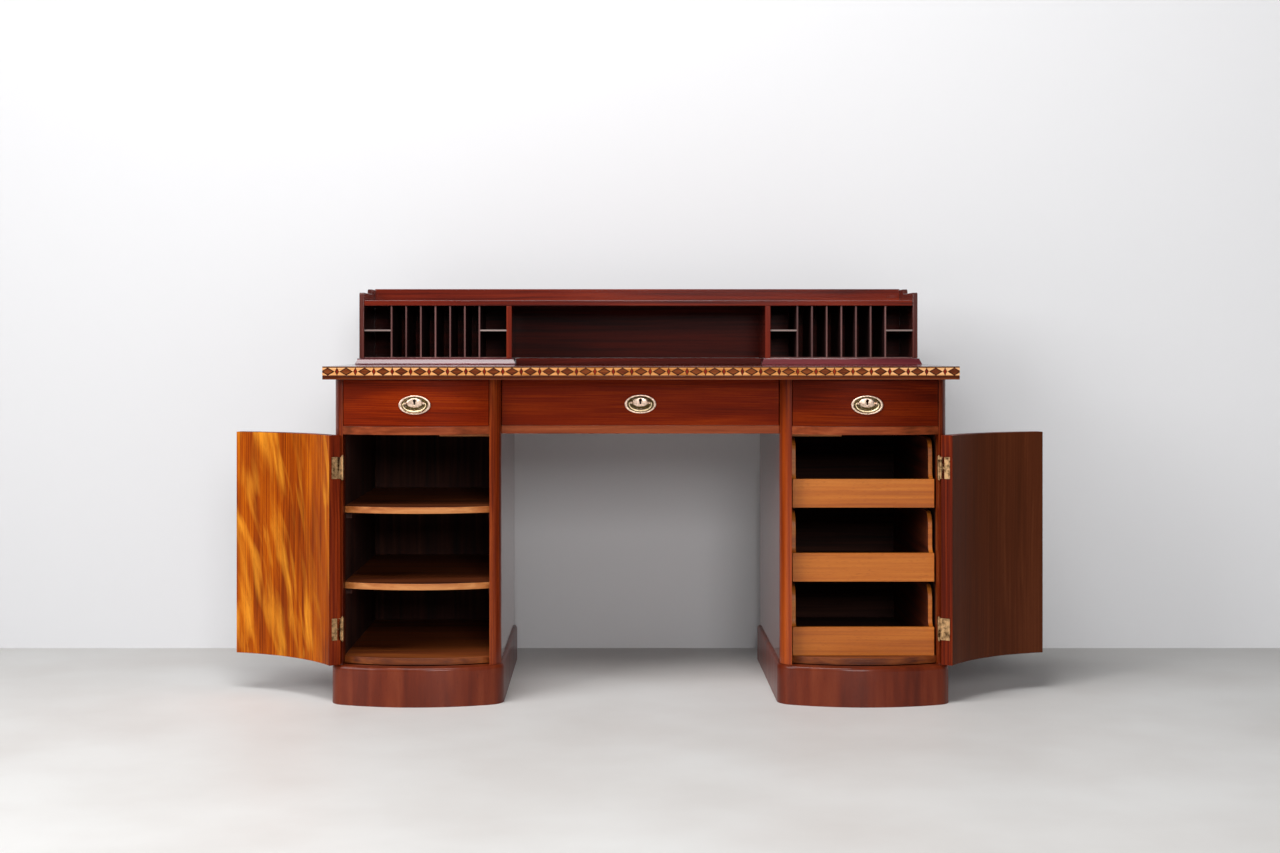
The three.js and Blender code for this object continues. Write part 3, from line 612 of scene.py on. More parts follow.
def joined_copy(node: str, merge_mm: float, cuts: Sequence[tuple[int, float]] = ()) -> bpy.types.Mesh:
    """Copy a node's mesh with its doubled points merged, its faces parted by planes, and its flat faces joined.

    The seams keep a cut's edges from being joined away. Their loop is short, because a cut makes few edges.

    Args:
        node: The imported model's node.
        merge_mm: Points nearer than this are one.
        cuts: Planes: the number of an axis, and the place along it.

    Returns:
        The copy.
    """
    mesh = frame["nodes"][node].data.copy()
    mesh.materials.clear()
    work = bmesh.new()
    work.from_mesh(mesh)
    bmesh.ops.remove_doubles(work, verts=work.verts, dist=merge_mm * MM)
    for axis, place in cuts:
        across = np.eye(3)[axis]
        parted = bmesh.ops.bisect_plane(work, geom=[*work.verts, *work.edges, *work.faces], dist=0.001 * MM,
                                        plane_co=across * place, plane_no=across)["geom_cut"]
        for edge in (part for part in parted if isinstance(part, bmesh.types.BMEdge)):
            edge.seam = True
    bmesh.ops.dissolve_limit(work, angle_limit=math.radians(0.4), verts=work.verts, edges=work.edges,
                             delimit={"SEAM"})
    work.to_mesh(mesh)
    work.free()
    return mesh


def weigh_edges(mesh: bpy.types.Mesh, crisp: Sequence[float] | None, crisp_mm: float = 12.0) -> None:
    """Give the edges to be eased a bevel weight of one.

    They are those whose two faces turn by more than 40 degrees: the cosine between the faces' normals is below that
    of 40 degrees. Corners sorted by their edge give each edge its faces.

    Args:
        mesh: The mesh.
        crisp: X and Z of a keyhole, whose edges stay crisp.
        crisp_mm: Edges with their middle this near to the keyhole are its own.
    """
    edge_of = read(mesh.loops, "edge_index", kind=np.int32)
    face_of = np.repeat(np.arange(len(mesh.polygons)), read(mesh.polygons, "loop_total", kind=np.int32))
    face_of = face_of[np.argsort(edge_of, kind="stable")]
    count = np.bincount(edge_of, minlength=len(mesh.edges))
    first = (np.cumsum(count) - count)[count == 2]
    normals = read(mesh.polygons, "normal", 3)
    cosine = (normals[face_of[first]] * normals[face_of[first + 1]]).sum(1)
    weight = np.zeros(len(count), np.float32)
    weight[count == 2] = cosine < math.cos(math.radians(40))
    if crisp is not None:
        middles = read(mesh.vertices, "co", 3)[read(mesh.edges, "vertices", 2, np.int32)].mean(1)
        weight[np.hypot(middles[:, 0] - crisp[0], middles[:, 2] - crisp[1]) < crisp_mm * MM] = 0
    mesh.attributes.new("bevel_weight_edge", "FLOAT", "EDGE").data.foreach_set("value", weight)


def ease(piece: Piece, edge_mm: float, segments: int, limit: str) -> None:
    """Ease a piece's edges with a bevel.

    Args:
        piece: The piece.
        edge_mm: Width of the eased edge.
        segments: Strips across it.
        limit: WEIGHT for weighed edges, or ANGLE for every edge that turns by more than 50 degrees.
    """
    bevel = piece.modifiers.new("eased_edges", "BEVEL")
    bevel.width = edge_mm * MM
    bevel.segments = segments
    bevel.limit_method = limit
    bevel.angle_limit = math.radians(50)
    bevel.harden_normals = True


def board(node: str, wood: Wood, grain: Grain, edge_mm: float = 0.8,
          others: Sequence[tuple[Wood, Grain, Chooser]] = (),
          cuts: Sequence[tuple[int, float]] = (), crisp: Sequence[float] | None = None) -> Piece:
    """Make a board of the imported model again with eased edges, and with other woods on chosen faces.

    Args:
        node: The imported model's node.
        wood: The board's wood.
        grain: Direction of its grain.
        edge_mm: Width of the eased edge.
        others: Woods of other faces: wood, grain, and a function that picks faces by their middles and normals.
        cuts: Planes that part a face where its wood changes: the number of an axis, and the place along it.
        crisp: X and Z of a keyhole, whose edges aren't eased.

    Returns:
        The new board, which stands for the node.
    """
    mesh = joined_copy(node, 0.01, cuts)
    weigh_edges(mesh, crisp)
    finish_shading(mesh, True, SHARP)
    piece = link(f"{node}_eased", mesh)
    middles, normals = read(mesh.polygons, "center", 3), read(mesh.polygons, "normal", 3)
    index = np.zeros(len(middles), np.int32)
    materials = [wood.material(node, grain)]
    for number, (other, way, choose) in enumerate(others, start=1):
        index[choose(middles, normals)] = number
        materials.append(other.material(f"{node}_{number}", way))
    mesh.polygons.foreach_set("material_index", index)
    ease(piece, edge_mm, 2, "WEIGHT")
    return stand_for(piece, node, *materials)


def facing(direction: Sequence[float], least: float = SQUARE) -> Chooser:
    """Pick the faces that look along a direction.

    Args:
        direction: Unit vector.
        least: Least cosine between a face's normal and the direction.

    Returns:
        A function of middles and normals.
    """
    return lambda middles, normals: normals @ np.asarray(direction, float) > least


def unit(vectors: Points) -> Points:
    """Scale vectors to a length of one."""
    return vectors / np.linalg.norm(vectors, axis=-1, keepdims=True)


def tube(name: str, path: Points, radii: Points, up: Sequence[float], sides: int = 16) -> Piece:
    """Carry a circle along a path that lies in one plane.

    Point (i, j) is path i plus its radius times the sum of the plane's normal by the cosine, and of the path's own
    normal by the sine, of the angle j. The ends are capped.

    Args:
        name: The object's name.
        path: Points of the path.
        radii: Radius at each point.
        up: Normal of the path's plane.
        sides: Points of the circle.

    Returns:
        The new object.
    """
    ahead = unit(np.gradient(path, axis=0))
    side = np.broadcast_to(np.asarray(up, float), path.shape)
    across = np.cross(ahead, side)
    angle = np.linspace(0, 2 * np.pi, sides, endpoint=False)
    ring = np.cos(angle)[None, :, None] * side[:, None] + np.sin(angle)[None, :, None] * across[:, None]
    grid = path[:, None] + radii[:, None, None] * ring
    return surface(name, grid[:, ::-1])


# The desk's parts

def corners(node: str) -> Points:
    """Lowest and highest corner of a node's box."""
    return np.array(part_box(node))


@dataclass
class InlaidBand:
    """Band of satinwood round the desktop's edge, with large and small dark diamonds let in by turns."""

    node: str = "inlay_band"
    pitch_mm: float = 42.0
    large_share: float = 0.38
    small_share: float = 0.115
    border_share: float = 0.3
    tip_share: float = 0.02
    end_share: float = 0.3
    depth_mm: float = 1.7

    def make(self) -> None:
        """Lay the three woods of the band along the front and both ends of the desktop."""
        low, high = corners(self.node)
        runs = [
            ((low[0], high[1]), (low[0], low[1])),
            ((low[0], low[1]), (high[0], low[1])),
            ((high[0], low[1]), (high[0], high[1])),
        ]
        ground = self._lay("inlay_ground", runs, low[2], high[2], self._ground)
        large = self._lay("inlay_large_diamonds", runs, low[2], high[2], self._large, self.border_share)
        small = self._lay("inlay_small_diamonds", runs, low[2], high[2], self._small, self.border_share)
        body = BODY_OF[self.node]
        border = DARK_BORDER_AND_KEYHOLE_SHADE.material("inlay_border", Grain.ALONG_X)
        stand_for(ground, self.node, SATINWOOD.material("inlay_ground", Grain.ALONG_X))
        dress(large, body, "pigeonhole_mahogany", ROSEWOOD.material("inlay_large", Grain.ALONG_X), border)
        dress(small, body, "gallery_mahogany", RED_INLAY.material("inlay_small", Grain.ALONG_Z), border)

    @property
    def _end_height(self) -> float:
        """Half height of a large diamond where the run's end cuts it."""
        return (self.large_share - self.end_share) / (self.large_share - self.tip_share)

    def _large(self, count: int) -> list[Points]:
        """Outline the large diamonds of a run. The first and the last are cut by the run's ends.

        Args:
            count: Pitches of the run.

        Returns:
            Outlines in units of the pitch and of the band's half height.
        """
        tip, a, end, cut = self.tip_share, self.large_share, self.end_share, self._end_height
        whole = np.array([(-a, 0), (-tip, -1), (tip, -1), (a, 0), (tip, 1), (-tip, 1)])
        first = np.array([(-end, cut), (-end, -cut), (-tip, -1), (tip, -1), (a, 0), (tip, 1), (-tip, 1)])
        last = first[::-1] * (-1, 1) + (count, 0)
        middles = np.stack([np.arange(1, count), np.zeros(count - 1)], 1)
        return [first, *(whole + middles[:, None]), last]

    def _small(self, count: int) -> list[Points]:
        """Outline the small diamonds, halfway between the large ones.

        Args:
            count: Pitches of the run.

        Returns:
            Outlines in units of the pitch and of the band's half height.
        """
        tip, b = self.tip_share / 2, self.small_share
        shape = np.array([(-b, 0), (-tip, -1), (tip, -1), (b, 0), (tip, 1), (-tip, 1)])
        return list(shape + np.stack([np.arange(count) + 0.5, np.zeros(count)], 1)[:, None])

    def _ground(self, count: int) -> list[Points]:
        """Outline the satinwood: a piece on each side of every small diamond, and the corners at the run's ends.

        Args:
            count: Pitches of the run.

        Returns:
            Outlines in units of the pitch and of the band's half height.
        """
        tip, a, b, end, cut = self.tip_share, self.large_share, self.small_share, self.end_share, self._end_height
        left = np.array([(tip, -1), (0.5 - tip / 2, -1), (0.5 - b, 0), (0.5 - tip / 2, 1), (tip, 1), (a, 0)])
        right = left[::-1] * (-1, 1) + (1, 0)
        both = np.stack([left, right])
        starts = np.stack([np.arange(count), np.zeros(count)], 1)
        corner = np.array([(-end, -1), (-tip, -1), (-end, -cut)])
        ends = [corner, corner[::-1] * (1, -1), corner[::-1] * (-1, 1) + (count, 0), corner * (-1, -1) + (count, 0)]
        return [*(both[None] + starts[:, None, None]).reshape(-1, len(left), 2), *ends]

    def _lay(self, name: str, runs: Sequence[tuple[Pair, Pair]], z0: float, z1: float,
             outlines: Callable[[int], list[Points]], border: float = 0.0) -> Piece:
        """Stand the outlines up along each run as closed tiles, mitred at the corners.

        The run holds a whole number of pitches between the middles of its first and last large diamonds. A point at
        share s of the pitch and height v stands s pitches after the first middle. Its inner twin lies one depth
        further in, and no nearer to the run's end than that depth. A third twin, for a tile with a border, lies on
        the line to the tile's middle.

        Args:
            name: The object's name.
            runs: Start and end of each run, from above.
            z0: Height of the band's lower edge.
            z1: Height of its upper edge.
            outlines: Gives the outlines for a number of pitches.
            border: Share of the way to a tile's middle that its border takes, in the second material.

        Returns:
            The tiles as one object.
        """
        depth = self.depth_mm * MM
        points, faces, index, base = [], [], [], 0
        for start, end in runs:
            start, end = np.array(start), np.array(end)
            length = float(np.linalg.norm(end - start))
            along = (end - start) / length
            inward = np.array([-along[1], along[0]])
            count = round(length / (self.pitch_mm * MM) - 2 * self.end_share)
            pitch = length / (count + 2 * self.end_share)
            for tile in outlines(count):
                s = (tile[:, 0] + self.end_share) * pitch
                z = (z0 + z1) / 2 + tile[:, 1] * (z1 - z0) / 2
                outer = np.column_stack([start + s[:, None] * along, z])
                inner_s = np.clip(s, depth, length - depth)
                inner = np.column_stack([start + inner_s[:, None] * along + depth * inward, z])
                middle = outer + border * (outer.mean(0) - outer)
                points.append(np.vstack([outer, inner, middle] if border else [outer, inner]))
                sides = len(tile)
                first = base + np.arange(sides)
                after = base + (np.arange(sides) + 1) % sides
                faces.append((first + 2 * sides if border else first).tolist())
                faces.append((first[::-1] + sides).tolist())
                faces.extend(np.stack([first, first + sides, after + sides, after], 1).tolist())
                index.extend([0, 1] + [1] * sides if border else [0] * (2 + sides))
                if border:
                    faces.extend(np.stack([first, after, after + 2 * sides, first + 2 * sides], 1).tolist())
                    index.extend([1] * sides)
                base += len(points[-1])
        tiles = build(name, np.vstack(points), faces, smooth=False)
        tiles.data.polygons.foreach_set("material_index", np.array(index, np.int32))
        return tiles


@dataclass
class HandlePlate:
    """Stamped oval plate with a rolled rim, a ring of beads, a raised middle with a keyhole, and two bosses.

    Its surface is an ellipse scaled by a share of its half width, at the height that the profile gives. The raised
    middle stands above the plate's own middle, so each ellipse is moved up as its share falls from outer to inner.
    """

    prefix: str
    width_mm: float = 73.0
    height_mm: float = 43.6
    middle_rise_mm: float = 6.0
    boss_rise_mm: float = 3.4
    keyhole_rise_mm: float = 9.4
    outer_share: float = 0.86
    inner_share: float = 0.42
    beads: int = 44
    bead_mm: float = 0.35
    bead_share: float = 0.655
    bead_fade: float = 0.05
    tarnish_mm: Pair = (1.4, 2.7)
    tarnish_share: float = 0.83
    sides: int = 176
    boss_out_mm: float = 21.0
    boss_mm: Pair = (2.9, 7.7)
    pin_mm: Pair = (1.3, 1.0)
    pin_at_mm: Pair = (31.6, -1.0)
    hole_mm: float = 3.5
    slot_half_mm: float = 1.8
    slot_drop_mm: float = 9.2
    cutter_mm: Pair = (5.0, -10.0)

    def profile(self) -> Points:
        """Trace the plate's section, from the rim's back round its roll to the middle.

        Returns:
            Rows of a share of the half width and a height in mm.
        """
        t = np.linspace(-0.5, 1.0, 13) * math.pi
        rim = np.stack([0.925 + 0.075 * np.cos(t), 1.2 + 1.1 * np.sin(t)], 1)
        inner = np.array([
            (0.82, 1.0), (0.79, 0.95), (0.755, 1.15), (0.725, 1.55), (0.69, 1.85), (0.655, 2.0), (0.62, 1.85),
            (0.595, 1.6), (0.57, 1.5), (0.53, 1.6), (0.5, 1.9), (0.46, 2.8), (0.42, 3.4), (0.36, 3.8),
            (0.26, 4.1), (0.13, 4.25), (0.02, 4.3)])
        return np.vstack([rim, inner])

    def make(self) -> None:
        """Make the plate, its bosses, the pins that fix it and the keyhole through it.

        The beads are a cosine round the plate, which fades as a bell curve on both sides of their ring. Tarnish
        stays where the profile is low, and between the beads.
        """
        node = f"{self.prefix}_handle_plate"
        low, high = corners(node)
        centre = np.array([(low[0] + high[0]) / 2, high[1], (low[2] + high[2]) / 2])
        shares, heights = self.profile().T
        angle = np.linspace(0, 2 * np.pi, self.sides, endpoint=False)
        ring = np.exp(-((shares - self.bead_share) / self.bead_fade) ** 2)[:, None]
        beaded = self.bead_mm * ring * (np.cos(self.beads * angle)[None] - 1)
        height = (heights[:, None] + beaded) * MM
        x = shares[:, None] * np.cos(angle)[None] * self.width_mm / 2 * MM
        moved = np.clip((self.outer_share - shares) / (self.outer_share - self.inner_share), 0, 1)
        z = (shares[:, None] * np.sin(angle)[None] * self.height_mm / 2 + moved[:, None] * self.middle_rise_mm) * MM
        grid = np.stack([x, -height, z], -1) + centre
        plate = surface(f"{self.prefix}_oval_plate", grid, sharp=60)
        deep, clear = self.tarnish_mm
        hollow = np.clip((clear - heights) / (clear - deep), 0, 1) * (shares < self.tarnish_share)
        recess = np.clip(hollow[:, None] - beaded / self.bead_mm * 0.35, 0, 1)
        attribute = plate.data.attributes.new("recess", "FLOAT", "POINT")
        attribute.data.foreach_set("value", recess.ravel().astype(np.float32))
        self._cut_keyhole(plate, centre)
        brass = HANDLE_BRASS.material()
        # The plate's second material is the near-black lining of the keyhole: painted shade.
        stand_for(plate, node, brass, DARK_SLOT_AND_KEYHOLE_SHADE.material())
        for side in (-1, 1):
            word = "left" if side < 0 else "right"
            boss = centre + np.array([side * self.boss_out_mm, 0.0, self.boss_rise_mm]) * MM
            pin = centre + np.array([side * self.pin_at_mm[0], self.pin_at_mm[1], 0.0]) * MM
            self._stud(f"{word}_boss", node, boss, self.boss_mm, brass)
            self._stud(f"{word}_pin", node, pin, self.pin_mm, brass)

    def _stud(self, word: str, node: str, centre: Points, size_mm: Pair, brass: Material) -> None:
        """Stand a round stud on the plate: a straight neck with a rounded top.

        The neck's radius holds up to two thirds of the height, and a quarter ellipse closes it.

        Args:
            word: The stud's own part of its name.
            node: The plate's node.
            centre: Middle of the stud's foot.
            size_mm: Radius and height.
            brass: Its material.
        """
        radius_mm, height_mm = size_mm
        t = np.linspace(0, np.pi / 2, 8)
        radius = np.concatenate([[1.0], np.cos(t[:-1]), [0.05]]) * radius_mm * MM
        height = np.concatenate([[0.0], 2 / 3 + np.sin(t) / 3]) * height_mm * MM
        angle = np.linspace(0, 2 * np.pi, 24, endpoint=False)
        x = radius[:, None] * np.cos(angle)
        z = radius[:, None] * np.sin(angle)
        y = np.broadcast_to(-height[:, None], x.shape)
        grid = np.stack([x, y, z], -1) + centre
        stud = surface(f"{self.prefix}_{word}", grid)
        dress(stud, BODY_OF[node], SLOT_OF[node], brass)

    def _cut_keyhole(self, plate: Piece, centre: Points) -> None:
        """Cut the keyhole: a round hole with a slot under it. Its walls are the plate's second material, near black:
        painted shade in the hole.

        Args:
            plate: The plate.
            centre: Middle of the plate's back.
        """
        radius, half_slot, drop = self.hole_mm * MM, self.slot_half_mm * MM, self.slot_drop_mm * MM
        start = math.asin(half_slot / radius) - math.pi / 2
        turn = np.linspace(start, 1.5 * math.pi - (start + math.pi / 2), 20)
        outline = np.vstack([
            np.stack([radius * np.cos(turn), radius * np.sin(turn)], 1),
            [(-half_slot, -drop), (half_slot, -drop)]])
        depth = np.array(self.cutter_mm)[:, None] * MM
        height = outline[:, 1] + self.keyhole_rise_mm * MM
        grid = np.stack(np.broadcast_arrays(outline[:, 0], depth, height), -1) + centre
        cutter = surface("keyhole_cutter", grid)
        for data in (plate.data, cutter.data, plate.data, cutter.data):
            data.materials.append(None)
        cutter.data.polygons.foreach_set("material_index", np.ones(len(cutter.data.polygons), np.int32))
        cut = plate.modifiers.new("keyhole", "BOOLEAN")
        cut.operation = "DIFFERENCE"
        cut.object = cutter
        bpy.context.view_layer.update()
        whole = plate.evaluated_get(bpy.context.evaluated_depsgraph_get())
        mesh = bpy.data.meshes.new_from_object(whole)
        plate.modifiers.clear()
        index = read(mesh.polygons, "material_index", kind=np.int32)
        mesh.materials.clear()
        mesh.polygons.foreach_set("material_index", index)
        plate.data = mesh
        bpy.data.objects.remove(cutter)


@dataclass
class Bail:
    """Drop handle: a wire bent to half an oval, thicker in the middle, with its ends turned into the bosses."""

    prefix: str
    width_mm: float = 52.0
    drop_mm: float = 18.5
    end_mm: float = 1.35
    swell_mm: float = 1.1
    corner_mm: float = 3.0
    inner_mm: float = 18.9
    axle_mm: float = 1.5

    def make(self) -> None:
        """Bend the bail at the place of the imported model's own.

        Its line is half an ellipse, a quarter circle at each of its ends, and a straight pin into each boss. The
        wire's radius grows with the square of the drop.
        """
        node = f"{self.prefix}_bail"
        low, high = corners(node)
        axle = np.array([(low[0] + high[0]) / 2, (low[1] + high[1]) / 2, high[2] - self.axle_mm * MM])
        half, inner = self.width_mm / 2, self.inner_mm
        t = np.linspace(0, math.pi, 41)
        oval = np.stack([-half * np.cos(t), -self.corner_mm - (self.drop_mm - self.corner_mm) * np.sin(t)], 1)
        corner = np.linspace(0, math.pi / 2, 7)[1:-1]
        bend = np.stack([
            -half + self.corner_mm * (1 - np.sin(corner)),
            -self.corner_mm * (1 - np.cos(corner))], 1)
        line = np.vstack([[(-inner, 0.0), (-half + self.corner_mm, 0.0)], bend, oval,
                          (bend * (-1, 1))[::-1], [(half - self.corner_mm, 0.0), (inner, 0.0)]])
        path = np.stack([line[:, 0], np.zeros(len(line)), line[:, 1]], 1) * MM + axle
        depth = np.clip(-line[:, 1] / self.drop_mm, 0, 1)
        radii = (self.end_mm + self.swell_mm * depth ** 2) * MM
        wire = tube(f"{self.prefix}_bail_wire", path, radii, (0.0, 1.0, 0.0))
        stand_for(wire, node, BAIL_BRASS.material())


def draw_angle(word: str) -> float:
    """A fixed angle for a name, so that each screw's slot points its own way."""
    return float(np.random.default_rng(zlib.crc32(word.encode())).uniform(0, math.pi))


@dataclass
class Hinge:
    """Butt hinge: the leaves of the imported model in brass, and three slotted screws in each."""

    prefix: str
    side: int
    bow_angle: float
    screw_mm: float = 2.7
    slot_mm: float = 0.45
    slot_depth_mm: float = 0.35
    dome_mm: float = 0.3
    edge_mm: float = 0.25
    merge_mm: float = 0.005
    sharp: float = 40.0
    places_mm: tuple[Pair, ...] = ((18.5, 17.0), (12.5, 0.0), (18.5, -17.0))

    def make(self) -> None:
        """Dress the leaves and drive their screws.

        A screw stands a reach and a rise away from the pin, along its leaf. The door's leaf is worked out for a shut
        door, and then turned about the vertical by the door's resting angle.
        """
        brass = HINGE_BRASS.material()
        slot_dark = DARK_SLOT_AND_KEYHOLE_SHADE.material()
        joint = next(j for j in frame["joints"] if j["name"] == f"{self.prefix}_door_hinge")
        pin = np.array(joint["pos_m"])
        turn = self.side * DOOR_OPEN
        shut = np.array([-self.side * math.sin(self.bow_angle), math.cos(self.bow_angle)])
        wood = np.array([-self.side * math.cos(self.bow_angle), -math.sin(self.bow_angle)])
        spin = np.array([[math.cos(turn), -math.sin(turn)], [math.sin(turn), math.cos(turn)]])
        leaves = {
            "door": (spin @ shut, -(spin @ wood)),
            "post": (np.array([0.0, 1.0]), np.array([-self.side, 0.0])),
        }
        for owner, (along, out) in leaves.items():
            for level in ("lower", "upper"):
                node = f"{self.prefix}_{owner}_hinge_leaf_{level}"
                mesh = joined_copy(node, self.merge_mm)
                finish_shading(mesh, True, self.sharp)
                leaf = link(f"{node}_brass", mesh)
                ease(leaf, self.edge_mm, 1, "ANGLE")
                stand_for(leaf, node, brass)
                middle = np.append(pin[:2], corners(node)[:, 2].mean())
                for number, (reach, rise) in enumerate(self.places_mm):
                    seat = middle + np.append(along * reach * MM, rise * MM)
                    self._screw(f"{node}_screw_{number + 1}", node, seat, np.append(out, 0.0), brass, slot_dark,
                                draw_angle(f"{node}{number}"))

    def _screw(self, name: str, node: str, seat: Points, out: Points, brass: Material,
               dark: Material, turn: float) -> None:
        """Drive one screw: a flat domed head with a slot across it.

        The head is a disc of parallel columns, each as long as the circle is wide there, so that the slot's walls
        are straight. A point's height is that of a shallow dome, less the slot's depth between its walls.

        Args:
            name: The screw's name.
            node: The leaf that it holds.
            seat: Middle of its head on the leaf's face.
            out: Direction that the head looks in.
            brass: Material of the head.
            dark: Material of the slot's floor.
            turn: Angle of the slot.
        """
        radius, slot = self.screw_mm * MM, self.slot_mm * MM
        edge, columns, rim = 0.02 * MM, 7, 0.985 * radius
        x = np.concatenate([np.linspace(-rim, -slot - edge, columns), [-slot, slot],
                            np.linspace(slot + edge, rim, columns)])
        y = np.linspace(-1, 1, 13)[None] * np.sqrt(radius ** 2 - x ** 2)[:, None]
        x = np.broadcast_to(x[:, None], y.shape)
        dome = self.dome_mm * MM * (1 - (x ** 2 + y ** 2) / radius ** 2) + edge
        height = np.where(np.abs(x) <= slot, dome - self.slot_depth_mm * MM, dome)
        c, s = math.cos(turn), math.sin(turn)
        up = np.array([0.0, 0.0, 1.0])
        right = np.cross(up, out)
        grid = (seat + (x * c - y * s)[..., None] * right + (x * s + y * c)[..., None] * up
                + height[..., None] * out)
        head = surface(name, grid, shell=False, sharp=self.sharp)
        strips = np.repeat(np.arange(x.shape[0] - 1), x.shape[1] - 1)
        head.data.polygons.foreach_set("material_index", (strips == columns).astype(np.int32))
        dress(head, BODY_OF[node], SLOT_OF[node], brass, dark)


@dataclass
class Desktop:
    """Desktop board: dark strings above and below its inlaid band, and a paler lower edge, painted as the highlight
    of a rounded arris.
    """

    string_mm: float = 7.0

    def make(self) -> None:
        """Dress the board and lay its band."""
        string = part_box("inlay_band")[0][2] - self.string_mm * MM
        board("desktop", DESKTOP_MAHOGANY, Grain.ALONG_X, 0.8, [
            (EDGE_STRING, Grain.ALONG_X, lambda m, n: (np.abs(n[:, 2]) < 0.5) & (m[:, 2] > string)),
            (ARRIS_HIGHLIGHT, Grain.ALONG_X, lambda m, n: (np.abs(n[:, 2]) < 0.5) & (m[:, 2] < string)),
        ], [(2, string)])
        InlaidBand().make()


@dataclass
class Drawer:
    """Frieze drawer: a veneered front, a lined box, the bed that it slides on, a handle plate and a bail.

    The front's face is parted round the keyhole, so that every other face stays a plain strip.
    """

    prefix: str
    veneer: Wood
    window_mm: Pair = (10.0, 11.0)
    rise_mm: float = 7.0

    def make(self) -> None:
        """Dress the boards and make the handle. The grain of the box's sides runs from front to back."""
        # The bed takes the near-black inside wood: painted shade.
        board(f"{self.prefix}_drawer_bed", SHADED_CUPBOARD_INSIDE, Grain.ALONG_X, 0.5)
        self._front()
        board(f"{self.prefix}_drawer_box", DRAWER_LINING, Grain.ALONG_X, 0.6,
              [(DRAWER_LINING, Grain.ALONG_Y, lambda m, n: np.abs(n[:, 0]) > SQUARE)])
        HandlePlate(self.prefix).make()
        Bail(self.prefix).make()

    def _front(self) -> None:
        """Dress the front, with a window round the keyhole that stands a rise above the plate's middle."""
        x, _, z = corners(f"{self.prefix}_handle_plate").mean(0) + (0.0, 0.0, self.rise_mm * MM)
        wide, tall = (size * MM for size in self.window_mm)
        cuts = [(0, x - wide), (0, x), (0, x + wide), (2, z - tall), (2, z + tall)]

        def in_keyhole_shade(m: Points, n: Points) -> Mask:
            """Pick the faces behind the plate and in the keyhole, which take a near-black wood: painted shade in the
            keyhole.
            """
            return (np.abs(m[:, 0] - x) < wide) & (np.abs(m[:, 2] - z) < tall)

        board(f"{self.prefix}_drawer_front", self.veneer, Grain.VENEER_X, 1.0,
              [(DARK_BORDER_AND_KEYHOLE_SHADE, Grain.ALONG_Z, in_keyhole_shade)], cuts, (x, z))


@dataclass
class Shelf:
    """Bow-fronted cupboard shelf with a pale lipping."""

    node: str

    def make(self) -> None:
        """Dress the shelf."""
        board(self.node, SHADED_SHELF_TOP, Grain.ALONG_X, 0.8, [(SHELF_LIPPING, Grain.ALONG_X, facing((0, -1, 0), 0.5))])


@dataclass
class Tray:
    """Pull-out tray: a pale front across, and sides whose grain runs from front to back."""

    node: str
    thick_mm: float = 10.0
    rim_mm: float = 5.0

    def make(self) -> None:
        """Dress the tray: pale fronts, edges and outer sides, and darker inner faces below the rim, near black on the
        floor and ends as painted shade.
        """
        low, high = corners(self.node)
        thick = self.thick_mm * MM
        rim = high[2] - self.rim_mm * MM

        def within(m: Points, inset: float) -> Mask:
            """Pick the faces that stand more than an inset in from both sides."""
            return (m[:, 0] > low[0] + inset) & (m[:, 0] < high[0] - inset)

        board(self.node, TRAY_MAHOGANY, Grain.ALONG_X, 1.0, [
            (TRAY_SIDE, Grain.ALONG_Y, lambda m, n: np.abs(n[:, 0]) > SQUARE),
            (TRAY_INSIDE, Grain.ALONG_Y, lambda m, n: (np.abs(n[:, 0]) > SQUARE) & within(m, thick / 2)),
            (SHADED_CUPBOARD_INSIDE, Grain.ALONG_X, lambda m, n: (
                (np.abs(n[:, 0]) <= SQUARE) & within(m, thick) & (m[:, 1] > low[1] + thick) & (m[:, 2] < rim))),
        ])


